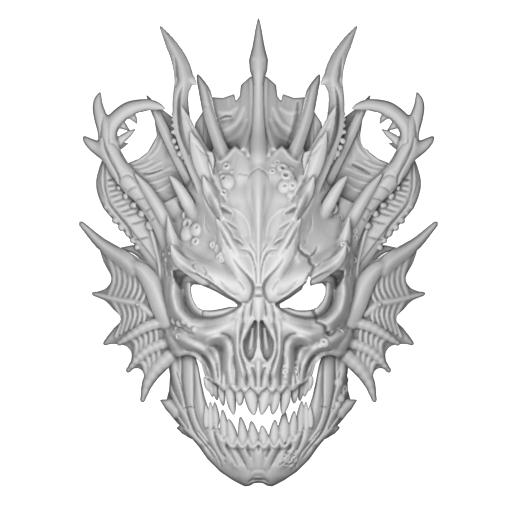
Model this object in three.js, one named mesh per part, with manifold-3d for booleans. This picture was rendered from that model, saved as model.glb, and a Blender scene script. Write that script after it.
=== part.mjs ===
// A wall or face mask cast in one piece: the front of a sea creature's skull with a fanned crown,
// two looped horns, webbed side fins and an open jaw. It lies on its back rim, face up:
// +X is to the viewer's right, +Y towards the crown and +Z out of the face. Millimetres.
import * as THREE from "three";
import Module from "manifold-3d";
import { mergeVertices } from "three/addons/utils/BufferGeometryUtils.js";

const wasm = await Module();
wasm.setup();

// Driving dimensions. The front view is drawn in units of its own, h to the right and v down,
// and MASK_HEIGHT scales it: the drawing is 469 units from the chin to the tip of the crown.
const MASK_HEIGHT = 375;
const DRAWING_HEIGHT = 469;
const MIDDLE_H = 258.5;
const MIDDLE_V = 252.5;
const UNIT = MASK_HEIGHT / DRAWING_HEIGHT;
const BELOW_RIM = -4;
const ABOVE_FACE = 160;
const ROUNDNESS = 2.3;
const EVEN_SHARE = 0.6;
const FADE_HEIGHT = 20;
const STROKE_SOFTNESS = 1.35;
const MUZZLE_BACK = 44;

const xOf = (h) => (h - MIDDLE_H) * UNIT;
const yOf = (v) => (MIDDLE_V - v) * UNIT;
const hOf = (x) => x / UNIT + MIDDLE_H;
const vOf = (y) => MIDDLE_V - y / UNIT;
const mirrored = (h) => 2 * MIDDLE_H - h;
const onSide = (side, h) => (side < 0 ? h : mirrored(h));
const SIDES = { left: -1, right: 1 };

// Skull forms: at each height of the drawing, the half width in drawing units and the depth in mm.
const HEAD_FORM = [
  [100, 40, 34],
  [125, 58, 50],
  [150, 72, 66],
  [175, 84, 77],
  [200, 91, 85],
  [235, 95, 91],
  [275, 97, 94],
  [310, 96, 92],
  [345, 92, 88],
  [372, 88, 84],
];
const MUZZLE_FORM = [
  [300, 26, 70],
  [320, 38, 86],
  [345, 48, 95],
  [370, 55, 98],
  [390, 54, 95],
  [404, 52, 90],
];
const JAW_FORM = [
  [330, 98, 52],
  [370, 94, 60],
  [410, 92, 68],
  [440, 82, 73],
  [462, 68, 68],
  [478, 54, 54],
  [489, 42, 32],
];

// The hollow behind them: shallow behind the eye sockets and the nose, so that both keep a wall.
// Each row holds v, half width, depth and how boxy the curve is.
const HEAD_HOLLOW = [
  [170, 46, 60, 2.3],
  [186, 62, 69, 2.3],
  [203, 80, 75, 2.3],
  [235, 88, 80, 2.3],
  [264, 89, 82, 2.3],
  [280, 90, 62, 5],
  [325, 89, 61, 5],
  [350, 84, 66, 4],
  [358, 82, 76, 2.6],
  [372, 80, 74, 2.6],
];
const MUZZLE_HOLLOW = [
  [352, 47, 66, 3],
  [364, 48, 86, 3],
  [390, 46, 84, 3],
  [405, 45, 82, 3],
];
const JAW_HOLLOW = [
  [330, 90, 45, 2.3],
  [370, 86, 53, 2.3],
  [400, 85, 60, 2.3],
  [424, 73, 64, 2.3],
  [444, 56, 64, 2.3],
  [460, 43, 60, 2.3],
  [474, 26, 48, 2.3],
];

// Raised and sunk strokes on the left half of the face: path, half width in drawing units, height in mm.
const FACE_CARVING = [
  { name: "nose bridge", path: [[258.5, 300], [258.5, 320]], width: 13, rise: 9 },
  { name: "brow", path: [[246, 298], [228, 290], [207, 279], [190, 270], [177, 262]], width: 14, rise: 12 },
  { name: "socket rim", path: [[172, 276], [169, 294], [174, 312], [188, 326], [206, 332], [228, 328]], width: 9, rise: 8 },
  { name: "cheekbone", path: [[214, 338], [194, 341], [172, 336]], width: 11, rise: 7 },
  { name: "nose side", path: [[241, 312], [238, 330], [238, 352], [246, 372]], width: 6, rise: 5 },
  { name: "cheek hollow", path: [[222, 348], [212, 360], [207, 374]], width: 10, rise: -9 },
  { name: "temple hollow", path: [[206, 246], [196, 232], [192, 212]], width: 15, rise: -7 },
  { name: "forehead crest", path: [[258.5, 168], [258.5, 290]], width: 6, rise: 5 },
  { name: "side crest", path: [[246, 284], [234, 256], [226, 234], [218, 206], [210, 182]], width: 10, rise: 8 },
  { name: "outer crest", path: [[172, 258], [168, 236], [160, 212]], width: 9, rise: 7 },
  { name: "forehead dish", path: [[243, 236], [240, 190]], width: 11, rise: -4 },
];

// Left half of the front outline of skull and muzzle, from the collar of the crown down to the gums.
const SKULL_OUTLINE = [
  [258.5, 157], [248, 157], [241, 151], [235, 146], [229, 152], [220, 160], [213, 151],
  [205, 158], [198, 168], [188, 186], [180, 192], [172, 199], [160, 199], [150, 206],
  [140, 230], [140, 262], [150, 300], [158, 330], [164, 343], [170, 352], [178, 357],
  [186, 355], [193, 357], [200, 364], [204, 376], [211, 381], [217, 384], [224, 391], [230, 388],
  [236, 393], [241, 389], [245, 394], [250, 386], [258.5, 395],
];
const EYE_HOLE = [
  [192, 283], [206, 286.5], [220, 293.5], [234, 301], [237.5, 304.5], [236, 308], [229, 307],
  [220, 309.5], [209, 310.5], [199, 307.5], [193, 300], [190.5, 291],
];
const SOCKET_MOUTH = [
  [188, 278], [206, 282], [222, 290], [236, 297.5], [241, 303], [240, 311], [231, 315],
  [220, 318], [206, 319], [192, 315], [184, 305], [181, 290],
];
const SOCKET_FLOOR = 68;
const SOCKET_LIP = 86;
const NOSE_HOLE = [
  [257.4, 322], [253.5, 319.5], [248, 328], [244.5, 335], [243, 342], [244, 352], [247, 359.5], [250, 361], [254, 357],
  [257.4, 344],
];
const NOSE_FLOOR = 76;
const BROKEN_BROW = [[303, 290], [305.5, 281], [311, 265], [310.5, 276], [309.5, 287]];
const JAW_OUTLINE = [
  [166, 338], [167, 357], [170, 375], [169, 391], [165, 402], [168, 413], [177, 423], [188, 436],
  [198, 447.5], [207.5, 460], [220, 472.5], [233, 481], [245, 486.5], [250, 485.5], [254, 483],
  [259, 482.5], [259, 439], [254, 444], [248, 441], [243, 445], [237, 441], [232, 444],
  [227, 436], [221, 429], [212, 424], [207, 408], [203, 396], [200, 382], [197, 366], [192, 350], [190, 338],
];

// Tapered, curved spikes: points are h, v, depth in mm and radius in mm, from root to tip.
const CENTRE_SPINE = [
  [258.5, 180, 64, 9], [258.5, 164, 62, 8.8], [258.5, 147, 54, 6.6], [258.5, 126, 46, 4.2], [258.5, 104, 42, 3.5],
  [258.5, 80, 40, 4], [258.5, 70, 39.5, 6.6], [258.5, 60, 39, 7.4], [258.5, 44, 37, 4.4], [258.5, 18, 33, 0.6],
];
const SPIKES = {
  crown_spike: [[228, 168, 60, 6], [217, 137, 50, 4.8], [209, 112, 45, 4.6], [205, 93, 41, 4.2], [198, 75.5, 36, 0.6]],
  blade_horn: [[206, 186, 66, 8], [194, 158, 60, 8], [184, 130, 52, 7.5], [181.5, 108, 48, 6.6], [182, 92, 46, 6.2],
    [184.5, 78, 45, 7.8], [179.6, 60, 43, 6.2], [170.6, 43, 41, 4], [160.6, 27, 38, 0.6]],
  blade_barb: [[184, 79, 45, 5], [191, 80, 46, 3.8], [196.5, 85.5, 47, 0.6]],
  rear_spike: [[192, 186, 42, 5], [178, 158, 38, 5], [165, 132, 36, 4.6], [153, 107, 33, 3.6], [147, 95.5, 31, 0.6]],
  ridge_spike_1: [[205, 162, 66, 7], [191.5, 135, 69, 5.2], [181, 106, 70, 0.6]],
  ridge_spike_2: [[214, 188, 76, 7], [200, 158, 78, 6.4], [190.4, 132, 80, 0.6]],
  ridge_spike_3: [[226, 218, 82, 5.5], [211, 192, 86, 4.8], [203.6, 177, 92, 0.6]],
  ridge_spike_4: [[234, 254, 92, 5.5], [224, 236, 98, 4.6], [216.5, 219, 104, 0.6]],
  temple_spike: [[186, 266, 50, 5], [178, 254, 56, 5], [171.5, 236, 62, 4], [168, 217, 70, 0.6]],
  brow_horn: [[205, 281, 86, 5], [187, 267, 86, 5], [176, 255, 87, 3.4], [171.4, 245, 90, 0.6]],
  side_spike: [[192, 210, 60, 6], [180, 192, 66, 5], [171, 177, 68, 0.6]],
  arm_spike: [[168, 226, 48, 5], [156, 204, 52, 5.2], [146, 188, 50, 4.2], [135.4, 174.4, 50, 0.6]],
  loop_horn: [[172, 246, 44, 9], [160, 218, 44, 9], [146, 198, 42, 9], [128, 180, 40, 8], [114, 162, 38, 7],
    [108.6, 142, 36, 6.8], [113.4, 123.5, 36, 6.4], [127.5, 109.5, 38, 5.4], [146, 104.6, 42, 4], [164, 108.6, 47, 0.6]],
  loop_prong_up: [[107, 136, 36, 5.5], [101, 120, 35, 4.8], [98.8, 106, 35, 3.6], [99.4, 93.6, 36, 0.8]],
  loop_prong_out: [[110, 157, 38, 5], [98.6, 148, 36, 4.6], [90.4, 143, 35, 3.4], [84.4, 136.6, 34, 0.8]],
  loop_tooth_1: [[130, 111, 39, 3.6], [137, 123.5, 38, 0.5]],
  loop_tooth_2: [[119, 120, 37, 3.6], [129, 130, 37, 0.5]],
  loop_tooth_3: [[114, 144, 37, 3.8], [125, 137, 38, 3], [134.5, 129.6, 39, 0.5]],
  loop_tooth_4: [[115, 148, 36, 3.4], [128.4, 143.4, 35, 0.5]],
  rear_coil: [[163, 262, 34, 9], [149, 242, 30, 10.5], [132.5, 220, 27, 11], [117, 200, 25, 11.2], [107, 183, 25, 9],
    [102, 168, 27, 5.5]],
  rear_spur: [[166, 276, 36, 6], [150, 260, 27, 5], [136, 250, 22, 3.6], [121, 248.5, 18, 0.8]],
  jaw_spike_upper: [[178, 412, 36, 6], [169, 405, 32, 4.6], [160.5, 400.5, 29, 0.8]],
  jaw_spike_lower: [[192, 434, 42, 5.5], [184, 429, 37, 4.2], [177, 428.5, 33, 0.8]],
};
// Rays of the side fin: points are h, v, height in mm over the web's front and radius in mm.
const FIN_RAYS = {
  ray_1: [[168, 322, 2, 9], [155, 290, 3, 10], [132, 265, 2, 8], [102.6, 243, 1, 5.4], [78.6, 221.6, -1, 0.8]],
  ray_2: [[158, 318, 0, 5], [137, 304, -0.5, 4.4], [112, 298.5, -1, 3.6], [91.5, 293.7, -1, 0.8]],
  ray_3: [[156, 328, -4, 4.6], [130, 329, -4, 4], [113, 338, -4, 3.4], [103, 344.5, -4, 0.8]],
  ray_4: [[162, 322, 2, 5], [146, 327, 2, 4.6], [131, 336, 1, 3.8], [117, 344.5, 0, 0.8]],
  ray_5: [[168, 342, 1, 5], [148, 352, 0, 4.6], [135, 362, -1, 3.8], [127, 372, -1, 0.8]],
  ray_6: [[170, 356, 1, 6], [156, 370, 0, 5.6], [147, 386, -1, 4.2], [141.5, 402, -1, 0.8]],
};
const SPIKE_FLATNESS = {
  blade_horn: 0.62,
  blade_barb: 0.6,
  rear_coil: 0.72,
  ray_1: 0.7,
  loop_horn: 0.9,
};

// Teeth: root h and v, tip h and v, half width at the root in drawing units.
const UPPER_TEETH = [
  [207, 379, 208, 390, 2.6], [210, 381, 211.5, 393.5, 3], [214.5, 383, 215.6, 397.6, 3.8], [222, 387, 223, 405, 4],
  [230.5, 388, 233.8, 413.3, 5], [240.5, 390, 240.5, 404.5, 4.4], [251, 387, 254, 413.3, 6.2],
  [265, 387, 261.5, 413, 5.8], [269.5, 392, 268.8, 404.6, 2.6], [275.5, 391, 272.4, 413, 4.6],
  [285.5, 388, 282.5, 413, 5.2], [294.5, 386, 294, 402.6, 3.8], [302, 384, 299.3, 399.6, 4], [308.5, 380, 304.5, 395.5, 3],
];
const LOWER_TEETH = [
  [206.6, 428, 206.6, 407, 2.4], [210, 427, 211, 403, 2.6], [216.5, 428, 214.7, 403, 4], [224.7, 434, 222.6, 411.7, 3.8],
  [232.5, 443, 229, 421.6, 5], [242.8, 443, 240.6, 419, 4.2], [253.2, 443, 251.4, 423.5, 4.8],
  [263.6, 442, 262, 427.5, 4.2], [273.8, 442, 275, 422, 4.2], [283.8, 440, 284.4, 413.5, 5.4],
  [292.6, 434, 294.3, 413, 4], [300.5, 430, 301.8, 403, 4.2], [307.6, 429, 305.8, 403, 2.8], [310.6, 428, 310, 408, 2.4],
];

// Webs: front outlines on the left half, and the depth in mm of their front face at the root and rim.
const CROWN_WEB = [
  [258.5, 180], [258.5, 75], [250, 77], [241, 85], [240, 96], [235.6, 102], [234, 94], [223, 98], [210, 96],
  [204.6, 114], [196.4, 122], [192, 150], [204, 176], [216, 184],
];
const SIDE_WEB = [
  [172, 117], [151, 101], [154, 116], [156, 135], [147, 151], [138, 158], [126, 163], [140, 186], [158, 206],
  [186, 206], [198, 186], [190, 150],
];
const FIN_WEB = [
  [166, 296], [150, 266], [128, 252], [98, 244], [104, 262], [113, 277], [107, 288], [94, 293], [106, 301.5],
  [113, 309], [120.5, 317], [118, 326], [112, 336], [104, 344], [117, 344], [126, 346], [131.5, 353],
  [130.5, 363], [127.5, 371], [137, 368], [143.5, 373], [144, 386], [142, 399], [150, 388], [158, 378], [170, 366],
];
// Flange between the side of the head and the roots of the looped horn, the coil and the fin.
const TEMPLE_WEB = [
  [178, 196], [160, 205], [150, 212], [147, 224], [152, 240], [157, 258], [160, 280], [165, 300], [180, 300],
];
const FIN_ROOT = { h: 168, v: 308 };
const FIN_ROOT_DEPTH = 40;
const FIN_SLOPE = 0.14;

// Cup-shaped growths: h, v and radius in drawing units.
const BARNACLES = [
  [225.5, 165.5, 5.5], [227, 179, 8], [188, 230, 7.5], [196.5, 226, 4.6], [284, 169, 5.6], [287, 175, 5.5],
  [283.5, 186.5, 6.6], [336, 209.5, 5.6], [348, 249, 5.6],
];
// Turns closed geometry into a solid that can be joined and cut.
function solid(geometry) {
  const bare = new THREE.BufferGeometry().setAttribute("position", geometry.getAttribute("position"));
  if (geometry.index) bare.setIndex(geometry.index);
  const merged = mergeVertices(bare, 1e-3);
  return new wasm.Manifold(
    new wasm.Mesh({
      numProp: 3,
      vertProperties: merged.attributes.position.array,
      triVerts: new Uint32Array(merged.index.array),
    }),
  );
}

const join = (solids) => solids.reduce((all, one) => all.add(one));

// The one body that matters: pockets sealed in between overlapping forms are left solid.
const wholeBody = (made) => made.decompose().reduce((best, one) => (one.volume() > best.volume() ? one : best));

// Closed solid from vertices and faces of three corners.
function closedSolid(points, faces) {
  const geometry = new THREE.BufferGeometry();
  geometry.setAttribute("position", new THREE.Float32BufferAttribute(points.flatMap((p) => [p.x, p.y, p.z]), 3));
  geometry.setIndex(faces.flat());
  return solid(geometry);
}

// Solid under a grid of front-face points, down past the rim plane. Columns run along +X and rows along +Y.
function solidUnder(columns, rows, pointAt) {
  const points = [];
  const faces = [];
  const index = (i, j) => j * (columns + 1) + i;
  for (let j = 0; j <= rows; j++) for (let i = 0; i <= columns; i++) points.push(pointAt(i / columns, j / rows));
  for (let j = 0; j < rows; j++)
    for (let i = 0; i < columns; i++) {
      faces.push([index(i, j), index(i + 1, j), index(i + 1, j + 1)]);
      faces.push([index(i, j), index(i + 1, j + 1), index(i, j + 1)]);
    }
  const edge = [];
  for (let i = 0; i < columns; i++) edge.push(index(i, 0));
  for (let j = 0; j < rows; j++) edge.push(index(columns, j));
  for (let i = columns; i > 0; i--) edge.push(index(i, rows));
  for (let j = rows; j > 0; j--) edge.push(index(0, j));
  const foot = points.length;
  edge.forEach((e) => points.push(new THREE.Vector3(points[e].x, points[e].y, BELOW_RIM)));
  const middle = points.length;
  points.push(pointAt(0.5, 0.5).setZ(BELOW_RIM));
  edge.forEach((top, k) => {
    const next = (k + 1) % edge.length;
    faces.push([foot + k, foot + next, edge[next]], [foot + k, edge[next], top]);
    faces.push([middle, foot + next, foot + k]);
  });
  return closedSolid(points, faces);
}

// Straight prism along Z over a front outline.
function prism(outline) {
  const shape = new THREE.Shape(outline.map(([h, v]) => new THREE.Vector2(xOf(h), yOf(v))));
  const depth = ABOVE_FACE - 2 * BELOW_RIM;
  const geometry = new THREE.ExtrudeGeometry(shape, { depth, bevelEnabled: false, curveSegments: 1 });
  return solid(geometry.translate(0, 0, 2 * BELOW_RIM));
}

const wholeOutline = (half) => [
  ...half,
  ...half.filter(([h]) => h < MIDDLE_H).reverse().map(([h, v]) => [mirrored(h), v]),
];

// Smooth reading of a form's rows: half width in mm and depth in mm at height v.
function formAt(form, v) {
  const last = form.length - 1;
  let k = 0;
  while (k < last - 1 && v > form[k + 1][0]) k++;
  const [v0, w0, d0] = form[k];
  const [v1, w1, d1] = form[k + 1];
  const t = THREE.MathUtils.clamp((v - v0) / (v1 - v0), 0, 1);
  return { width: THREE.MathUtils.lerp(w0, w1, t) * UNIT, depth: THREE.MathUtils.lerp(d0, d1, t) };
}

function domeHeight(form, x, y) {
  const { width, depth } = formAt(form, vOf(y));
  const across = Math.min(1, Math.abs(x) / width);
  return depth * Math.pow(1 - Math.pow(across, ROUNDNESS), 1 / ROUNDNESS);
}

// Distance in drawing units from a point to a path.
function distanceToPath(h, v, path) {
  let nearest = Infinity;
  for (let k = 0; k + 1 < path.length; k++) {
    const [ah, av] = path[k];
    const [dh, dv] = [path[k + 1][0] - ah, path[k + 1][1] - av];
    const t = THREE.MathUtils.clamp(((h - ah) * dh + (v - av) * dv) / (dh * dh + dv * dv), 0, 1);
    nearest = Math.min(nearest, Math.hypot(h - ah - t * dh, v - av - t * dv));
  }
  return nearest;
}

function carvingAt(x, y) {
  const h = hOf(-Math.abs(x));
  const v = vOf(y);
  let rise = 0;
  for (const stroke of FACE_CARVING) {
    const share = distanceToPath(h, v, stroke.path) / (stroke.width * STROKE_SOFTNESS);
    if (share < 1) rise += stroke.rise * (1 - share * share) ** 2;
  }
  return rise;
}

// Column s of a grid, from -1 to 1, with the columns crowding towards the steep sides.
function columnAt(s) {
  const across = 2 * s - 1;
  return EVEN_SHARE * across + (1 - EVEN_SHARE) * Math.sin((Math.PI / 2) * across);
}

function formSolid(form, top, bottom, columns, rows) {
  return solidUnder(columns, rows, (s, t) => {
    const y = THREE.MathUtils.lerp(yOf(bottom), yOf(top), t);
    const x = formAt(form, vOf(y)).width * columnAt(s);
    const height = domeHeight(form, x, y);
    return new THREE.Vector3(x, y, height + carvingAt(x, y) * Math.min(1, height / FADE_HEIGHT));
  });
}

// Hollow under a form, with one row of points for each row of the form.
function hollowSolid(form, columns) {
  const rows = form.length - 1;
  return solidUnder(columns, rows, (s, t) => {
    const [v, width, depth, roundness] = form[Math.round((1 - t) * rows)];
    const across = columnAt(s);
    const height = depth * Math.pow(1 - Math.abs(across) ** roundness, 1 / roundness);
    return new THREE.Vector3(width * UNIT * across, yOf(v), height);
  });
}

// Solid through outlines of equal length, each at its own depth, from back to front.
function lofted(levels) {
  const flat = levels.map(({ outline }) => outline.map(([h, v]) => new THREE.Vector2(xOf(h), yOf(v))));
  if (THREE.ShapeUtils.isClockWise(flat[0])) flat.forEach((outline) => outline.reverse());
  const points = levels.flatMap(({ depth }, k) => flat[k].map((spot) => new THREE.Vector3(spot.x, spot.y, depth)));
  const count = flat[0].length;
  const last = points.length - count;
  const faces = [];
  for (const [a, b, c] of THREE.ShapeUtils.triangulateShape(flat[0], [])) faces.push([c, b, a]);
  for (const [a, b, c] of THREE.ShapeUtils.triangulateShape(flat[flat.length - 1], []))
    faces.push([last + a, last + b, last + c]);
  for (let low = 0; low < last; low += count)
    for (let i = 0; i < count; i++) {
      const next = (i + 1) % count;
      faces.push([low + i, low + next, low + count + next], [low + i, low + count + next, low + count + i]);
    }
  return facingOut(points, faces);
}

function facingOut(points, faces) {
  const made = closedSolid(points, faces);
  return made.volume() > 0 ? made : closedSolid(points, faces.map(([a, b, c]) => [a, c, b]));
}

// Tapered horn along a smooth curve, closed by a cap at its root and a point at its tip.
function horn(stations, side, sides, rings, flatness = 1) {
  const spots = stations.map(([h, v, z]) => new THREE.Vector3(xOf(onSide(side, h)), yOf(v), z));
  const curve = new THREE.CatmullRomCurve3(spots, false, "centripetal");
  const points = [spots[0].clone()];
  const faces = [];
  for (let r = 0; r < rings; r++) {
    const t = r / rings;
    const along = curve.getTangent(t);
    const across = new THREE.Vector3().crossVectors(along, new THREE.Vector3(0, 0, 1)).normalize();
    const front = new THREE.Vector3().crossVectors(across, along);
    const place = t * (stations.length - 1);
    const k = Math.floor(place);
    const radius = THREE.MathUtils.lerp(stations[k][3], stations[k + 1][3], place - k);
    const middle = curve.getPoint(t);
    for (let i = 0; i < sides; i++) {
      const angle = (2 * Math.PI * i) / sides;
      points.push(
        middle
          .clone()
          .addScaledVector(across, radius * Math.cos(angle))
          .addScaledVector(front, radius * flatness * Math.sin(angle)),
      );
    }
  }
  const tip = points.length;
  points.push(spots[spots.length - 1].clone());
  const at = (r, i) => 1 + r * sides + (i % sides);
  for (let i = 0; i < sides; i++) {
    faces.push([0, at(0, i), at(0, i + 1)]);
    for (let r = 0; r + 1 < rings; r++) {
      faces.push([at(r, i), at(r + 1, i + 1), at(r, i + 1)]);
      faces.push([at(r, i), at(r + 1, i), at(r + 1, i + 1)]);
    }
    faces.push([at(rings - 1, i), tip, at(rings - 1, i + 1)]);
  }
  return facingOut(points, faces);
}

// Thin curved web cut to its outline. frontAt gives the depth of its front face.
function web(outline, frontAt, thickness, columns, rows) {
  const xs = outline.map(([h]) => xOf(h));
  const ys = outline.map(([, v]) => yOf(v));
  const [x0, x1] = [Math.min(...xs) - 1, Math.max(...xs) + 1];
  const [y0, y1] = [Math.min(...ys) - 1, Math.max(...ys) + 1];
  const skin = (nx, ny, drop) =>
    solidUnder(nx, ny, (s, t) => {
      const x = THREE.MathUtils.lerp(x0, x1, s);
      const y = THREE.MathUtils.lerp(y0, y1, t);
      return new THREE.Vector3(x, y, frontAt(x, y) - drop);
    });
  const slab = skin(columns, rows, 0).subtract(skin(columns, rows, thickness));
  return slab.intersect(prism(outline));
}

const mirrorOutline = (outline, side) => (side < 0 ? outline : outline.map(([h, v]) => [mirrored(h), v]).reverse());

function crownWebFront(x, y) {
  const v = vOf(y);
  const pleat = 5 * Math.cos((Math.abs(x) / UNIT / 30) * Math.PI);
  return THREE.MathUtils.lerp(34, 40, (v - 75) / 105) + pleat;
}

function sideWebFront(x, y) {
  const v = vOf(y);
  return THREE.MathUtils.lerp(26, 36, (v - 100) / 105);
}

function templeWebFront(x) {
  return THREE.MathUtils.lerp(36, 44, (hOf(-Math.abs(x)) - 148) / 24);
}

function finWebFront(x, y) {
  const h = hOf(-Math.abs(x));
  return FIN_ROOT_DEPTH - FIN_SLOPE * Math.hypot(h - FIN_ROOT.h, vOf(y) - FIN_ROOT.v);
}

function tooth([rootH, rootV, tipH, tipV, halfWidth], form, lift) {
  const rootDepth = domeHeight(form, xOf(rootH), yOf(rootV)) + lift;
  const middle = [(rootH + tipH) / 2 + (rootH - tipH) * 0.2, (rootV + tipV) / 2];
  const width = halfWidth * UNIT;
  return horn(
    [
      [rootH, rootV, rootDepth - 3, width],
      [...middle, rootDepth, width],
      [tipH, tipV, rootDepth - 3, 0.7],
    ],
    SIDES.left,
    5,
    3,
    0.8,
  );
}

// Growth: a low cone with a cup in its top.
function barnacle([h, v, size]) {
  const radius = size * UNIT;
  const [x, y] = [xOf(h), yOf(v)];
  const ground = domeHeight(HEAD_FORM, x, y) + carvingAt(x, y);
  const profile = [[0, -5], [radius, -3], [radius * 0.62, radius * 0.7], [0, radius * 0.3]];
  const geometry = new THREE.LatheGeometry(profile.map(([r, z]) => new THREE.Vector2(r, z)), 5);
  return solid(geometry.rotateX(Math.PI / 2).translate(x, y, ground));
}

function skull() {
  const head = formSolid(HEAD_FORM, 140, 371, 26, 22);
  const muzzle = formSolid(MUZZLE_FORM, 301, 403, 12, 7);
  return head.add(muzzle).intersect(prism(wholeOutline(SKULL_OUTLINE)));
}

// The jaw's branches run up behind the cheekbones, inside the skull's wall.
function jaw() {
  const body = formSolid(JAW_FORM, 331, 489, 14, 8);
  const sides = Object.values(SIDES).map((side) => prism(mirrorOutline(JAW_OUTLINE, side)));
  return body.intersect(join(sides));
}

const skullHollow = () => join([hollowSolid(HEAD_HOLLOW, 10), hollowSolid(MUZZLE_HOLLOW, 8), openMouthSides()]);
const jawHollow = () => hollowSolid(JAW_HOLLOW, 8).add(openMouthSides());

// Room beside and behind the muzzle, so that its lower edge hangs free in front of the mouth.
function openMouthSides() {
  const width = 2 * 57 * UNIT;
  const height = (440 - 358) * UNIT;
  return solid(new THREE.BoxGeometry(width, height, 100).translate(0, yOf(399), MUZZLE_BACK - 50));
}

function openings() {
  const cuts = [prism(BROKEN_BROW)];
  for (const side of Object.values(SIDES)) {
    const hole = mirrorOutline(EYE_HOLE, side);
    const mouth = mirrorOutline(SOCKET_MOUTH, side);
    cuts.push(
      lofted([
        { outline: hole, depth: BELOW_RIM },
        { outline: hole, depth: SOCKET_FLOOR },
        { outline: mouth, depth: SOCKET_LIP },
        { outline: mouth, depth: ABOVE_FACE },
      ]),
    );
    const nostril = mirrorOutline(NOSE_HOLE, side);
    cuts.push(lofted([{ outline: nostril, depth: NOSE_FLOOR }, { outline: nostril, depth: ABOVE_FACE }]));
  }
  return join(cuts);
}

function spikes(side) {
  const onWeb = ([h, v, lift, radius]) => [h, v, finWebFront(xOf(h), yOf(v)) + lift, radius];
  const rays = Object.entries(FIN_RAYS).map(([name, stations]) => [name, stations.map(onWeb)]);
  return [...Object.entries(SPIKES), ...rays].map(([name, stations]) => {
    const long = stations.length > 6;
    const sides = long ? 6 : 5;
    const rings = stations.length + (long ? 1 : -1);
    return horn(stations, side, sides, rings, SPIKE_FLATNESS[name]);
  });
}

function webs(side) {
  return [
    web(mirrorOutline(CROWN_WEB, side), crownWebFront, 4, 5, 2),
    web(mirrorOutline(SIDE_WEB, side), sideWebFront, 4, 2, 2),
    web(mirrorOutline(TEMPLE_WEB, side), templeWebFront, 5, 1, 1),
    web(mirrorOutline(FIN_WEB, side), finWebFront, 3.5, 4, 4),
  ];
}

function maskSolid() {
  const front = [skull(), horn(CENTRE_SPINE, SIDES.left, 6, 10)];
  for (const side of Object.values(SIDES)) front.push(...spikes(side));
  front.push(...BARNACLES.map(barnacle));
  front.push(...UPPER_TEETH.map((t) => tooth(t, MUZZLE_FORM, 0)));
  front.push(...LOWER_TEETH.map((t) => tooth(t, JAW_FORM, 0)));
  const upper = join([...front, ...Object.values(SIDES).flatMap(webs)]).subtract(skullHollow().add(jawHollow()));
  const whole = upper.add(jaw().subtract(jawHollow())).subtract(openings());
  const room = new THREE.BoxGeometry(600, 600, ABOVE_FACE).translate(0, 0, ABOVE_FACE / 2);
  return wholeBody(whole.intersect(solid(room)));
}

function toGeometry(made) {
  const { numProp, numVert, vertProperties, triVerts } = made.getMesh();
  const positions = new Float32Array(numVert * 3);
  for (let i = 0; i < numVert; i++) positions.set(vertProperties.subarray(i * numProp, i * numProp + 3), i * 3);
  const geometry = new THREE.BufferGeometry();
  geometry.setAttribute("position", new THREE.BufferAttribute(positions, 3));
  geometry.setIndex(new THREE.BufferAttribute(triVerts, 1));
  return geometry;
}

const castResin = new THREE.MeshStandardMaterial({ color: 0xc4c6c4, roughness: 0.62, metalness: 0 });
const settled = wholeBody(solid(toGeometry(maskSolid())));
const maskMesh = new THREE.Mesh(toGeometry(settled), castResin);
maskMesh.name = "skull_mask";
const mask = new THREE.Group();
mask.add(maskMesh);

export default mask;
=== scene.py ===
import bpy
import math
import numpy as np
import openvdb
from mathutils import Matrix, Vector


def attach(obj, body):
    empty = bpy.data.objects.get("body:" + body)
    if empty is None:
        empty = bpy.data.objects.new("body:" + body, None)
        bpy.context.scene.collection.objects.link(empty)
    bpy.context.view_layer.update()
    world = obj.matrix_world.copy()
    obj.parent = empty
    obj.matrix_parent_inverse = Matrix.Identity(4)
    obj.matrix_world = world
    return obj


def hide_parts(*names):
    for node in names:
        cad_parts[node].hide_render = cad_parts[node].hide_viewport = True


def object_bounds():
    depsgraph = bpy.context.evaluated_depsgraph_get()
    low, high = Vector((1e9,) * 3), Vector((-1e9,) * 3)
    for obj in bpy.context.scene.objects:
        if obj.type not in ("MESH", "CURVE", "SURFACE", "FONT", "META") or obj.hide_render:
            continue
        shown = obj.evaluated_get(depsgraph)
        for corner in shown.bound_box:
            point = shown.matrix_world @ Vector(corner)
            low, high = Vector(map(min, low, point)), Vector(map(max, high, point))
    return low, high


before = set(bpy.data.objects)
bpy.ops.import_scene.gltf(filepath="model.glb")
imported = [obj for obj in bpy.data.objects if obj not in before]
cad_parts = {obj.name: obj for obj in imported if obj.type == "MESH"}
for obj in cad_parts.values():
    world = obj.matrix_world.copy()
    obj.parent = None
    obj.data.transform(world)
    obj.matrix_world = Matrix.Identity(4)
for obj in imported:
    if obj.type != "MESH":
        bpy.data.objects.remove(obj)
cad_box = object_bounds()

# Sizes. The front view is drawn in units of its own, h to the right and v down; the mask is
# 469 units high, and 375 mm. Fields are worked out in millimetres on a grid over the left half.
MASK_HEIGHT = 375.0
DRAWING_HEIGHT = 469.0
UNIT = MASK_HEIGHT / DRAWING_HEIGHT
MIDDLE_H = 258.5
MIDDLE_V = 252.5
# How boxy the curve of a rounded form is: 2 is an ellipse.
ROUNDNESS = 2.3
# The grid's cell and its edges, in mm.
STEP = 0.75
HALF_WIDTH = 146.4
LOW_Y, HIGH_Y = -190.4, 190.4
LOW_Z, HIGH_Z = -3.2, 114.4
THINNEST_WALL = 3.2
# The mesh is thinned to this many triangles.
MOST_TRIANGLES = 194000


def out_of(h):
    """Distance out from the middle, in mm, of a place on the left half of the drawing."""
    return (MIDDLE_H - h) * UNIT


def up_of(v):
    return (MIDDLE_V - v) * UNIT


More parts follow.
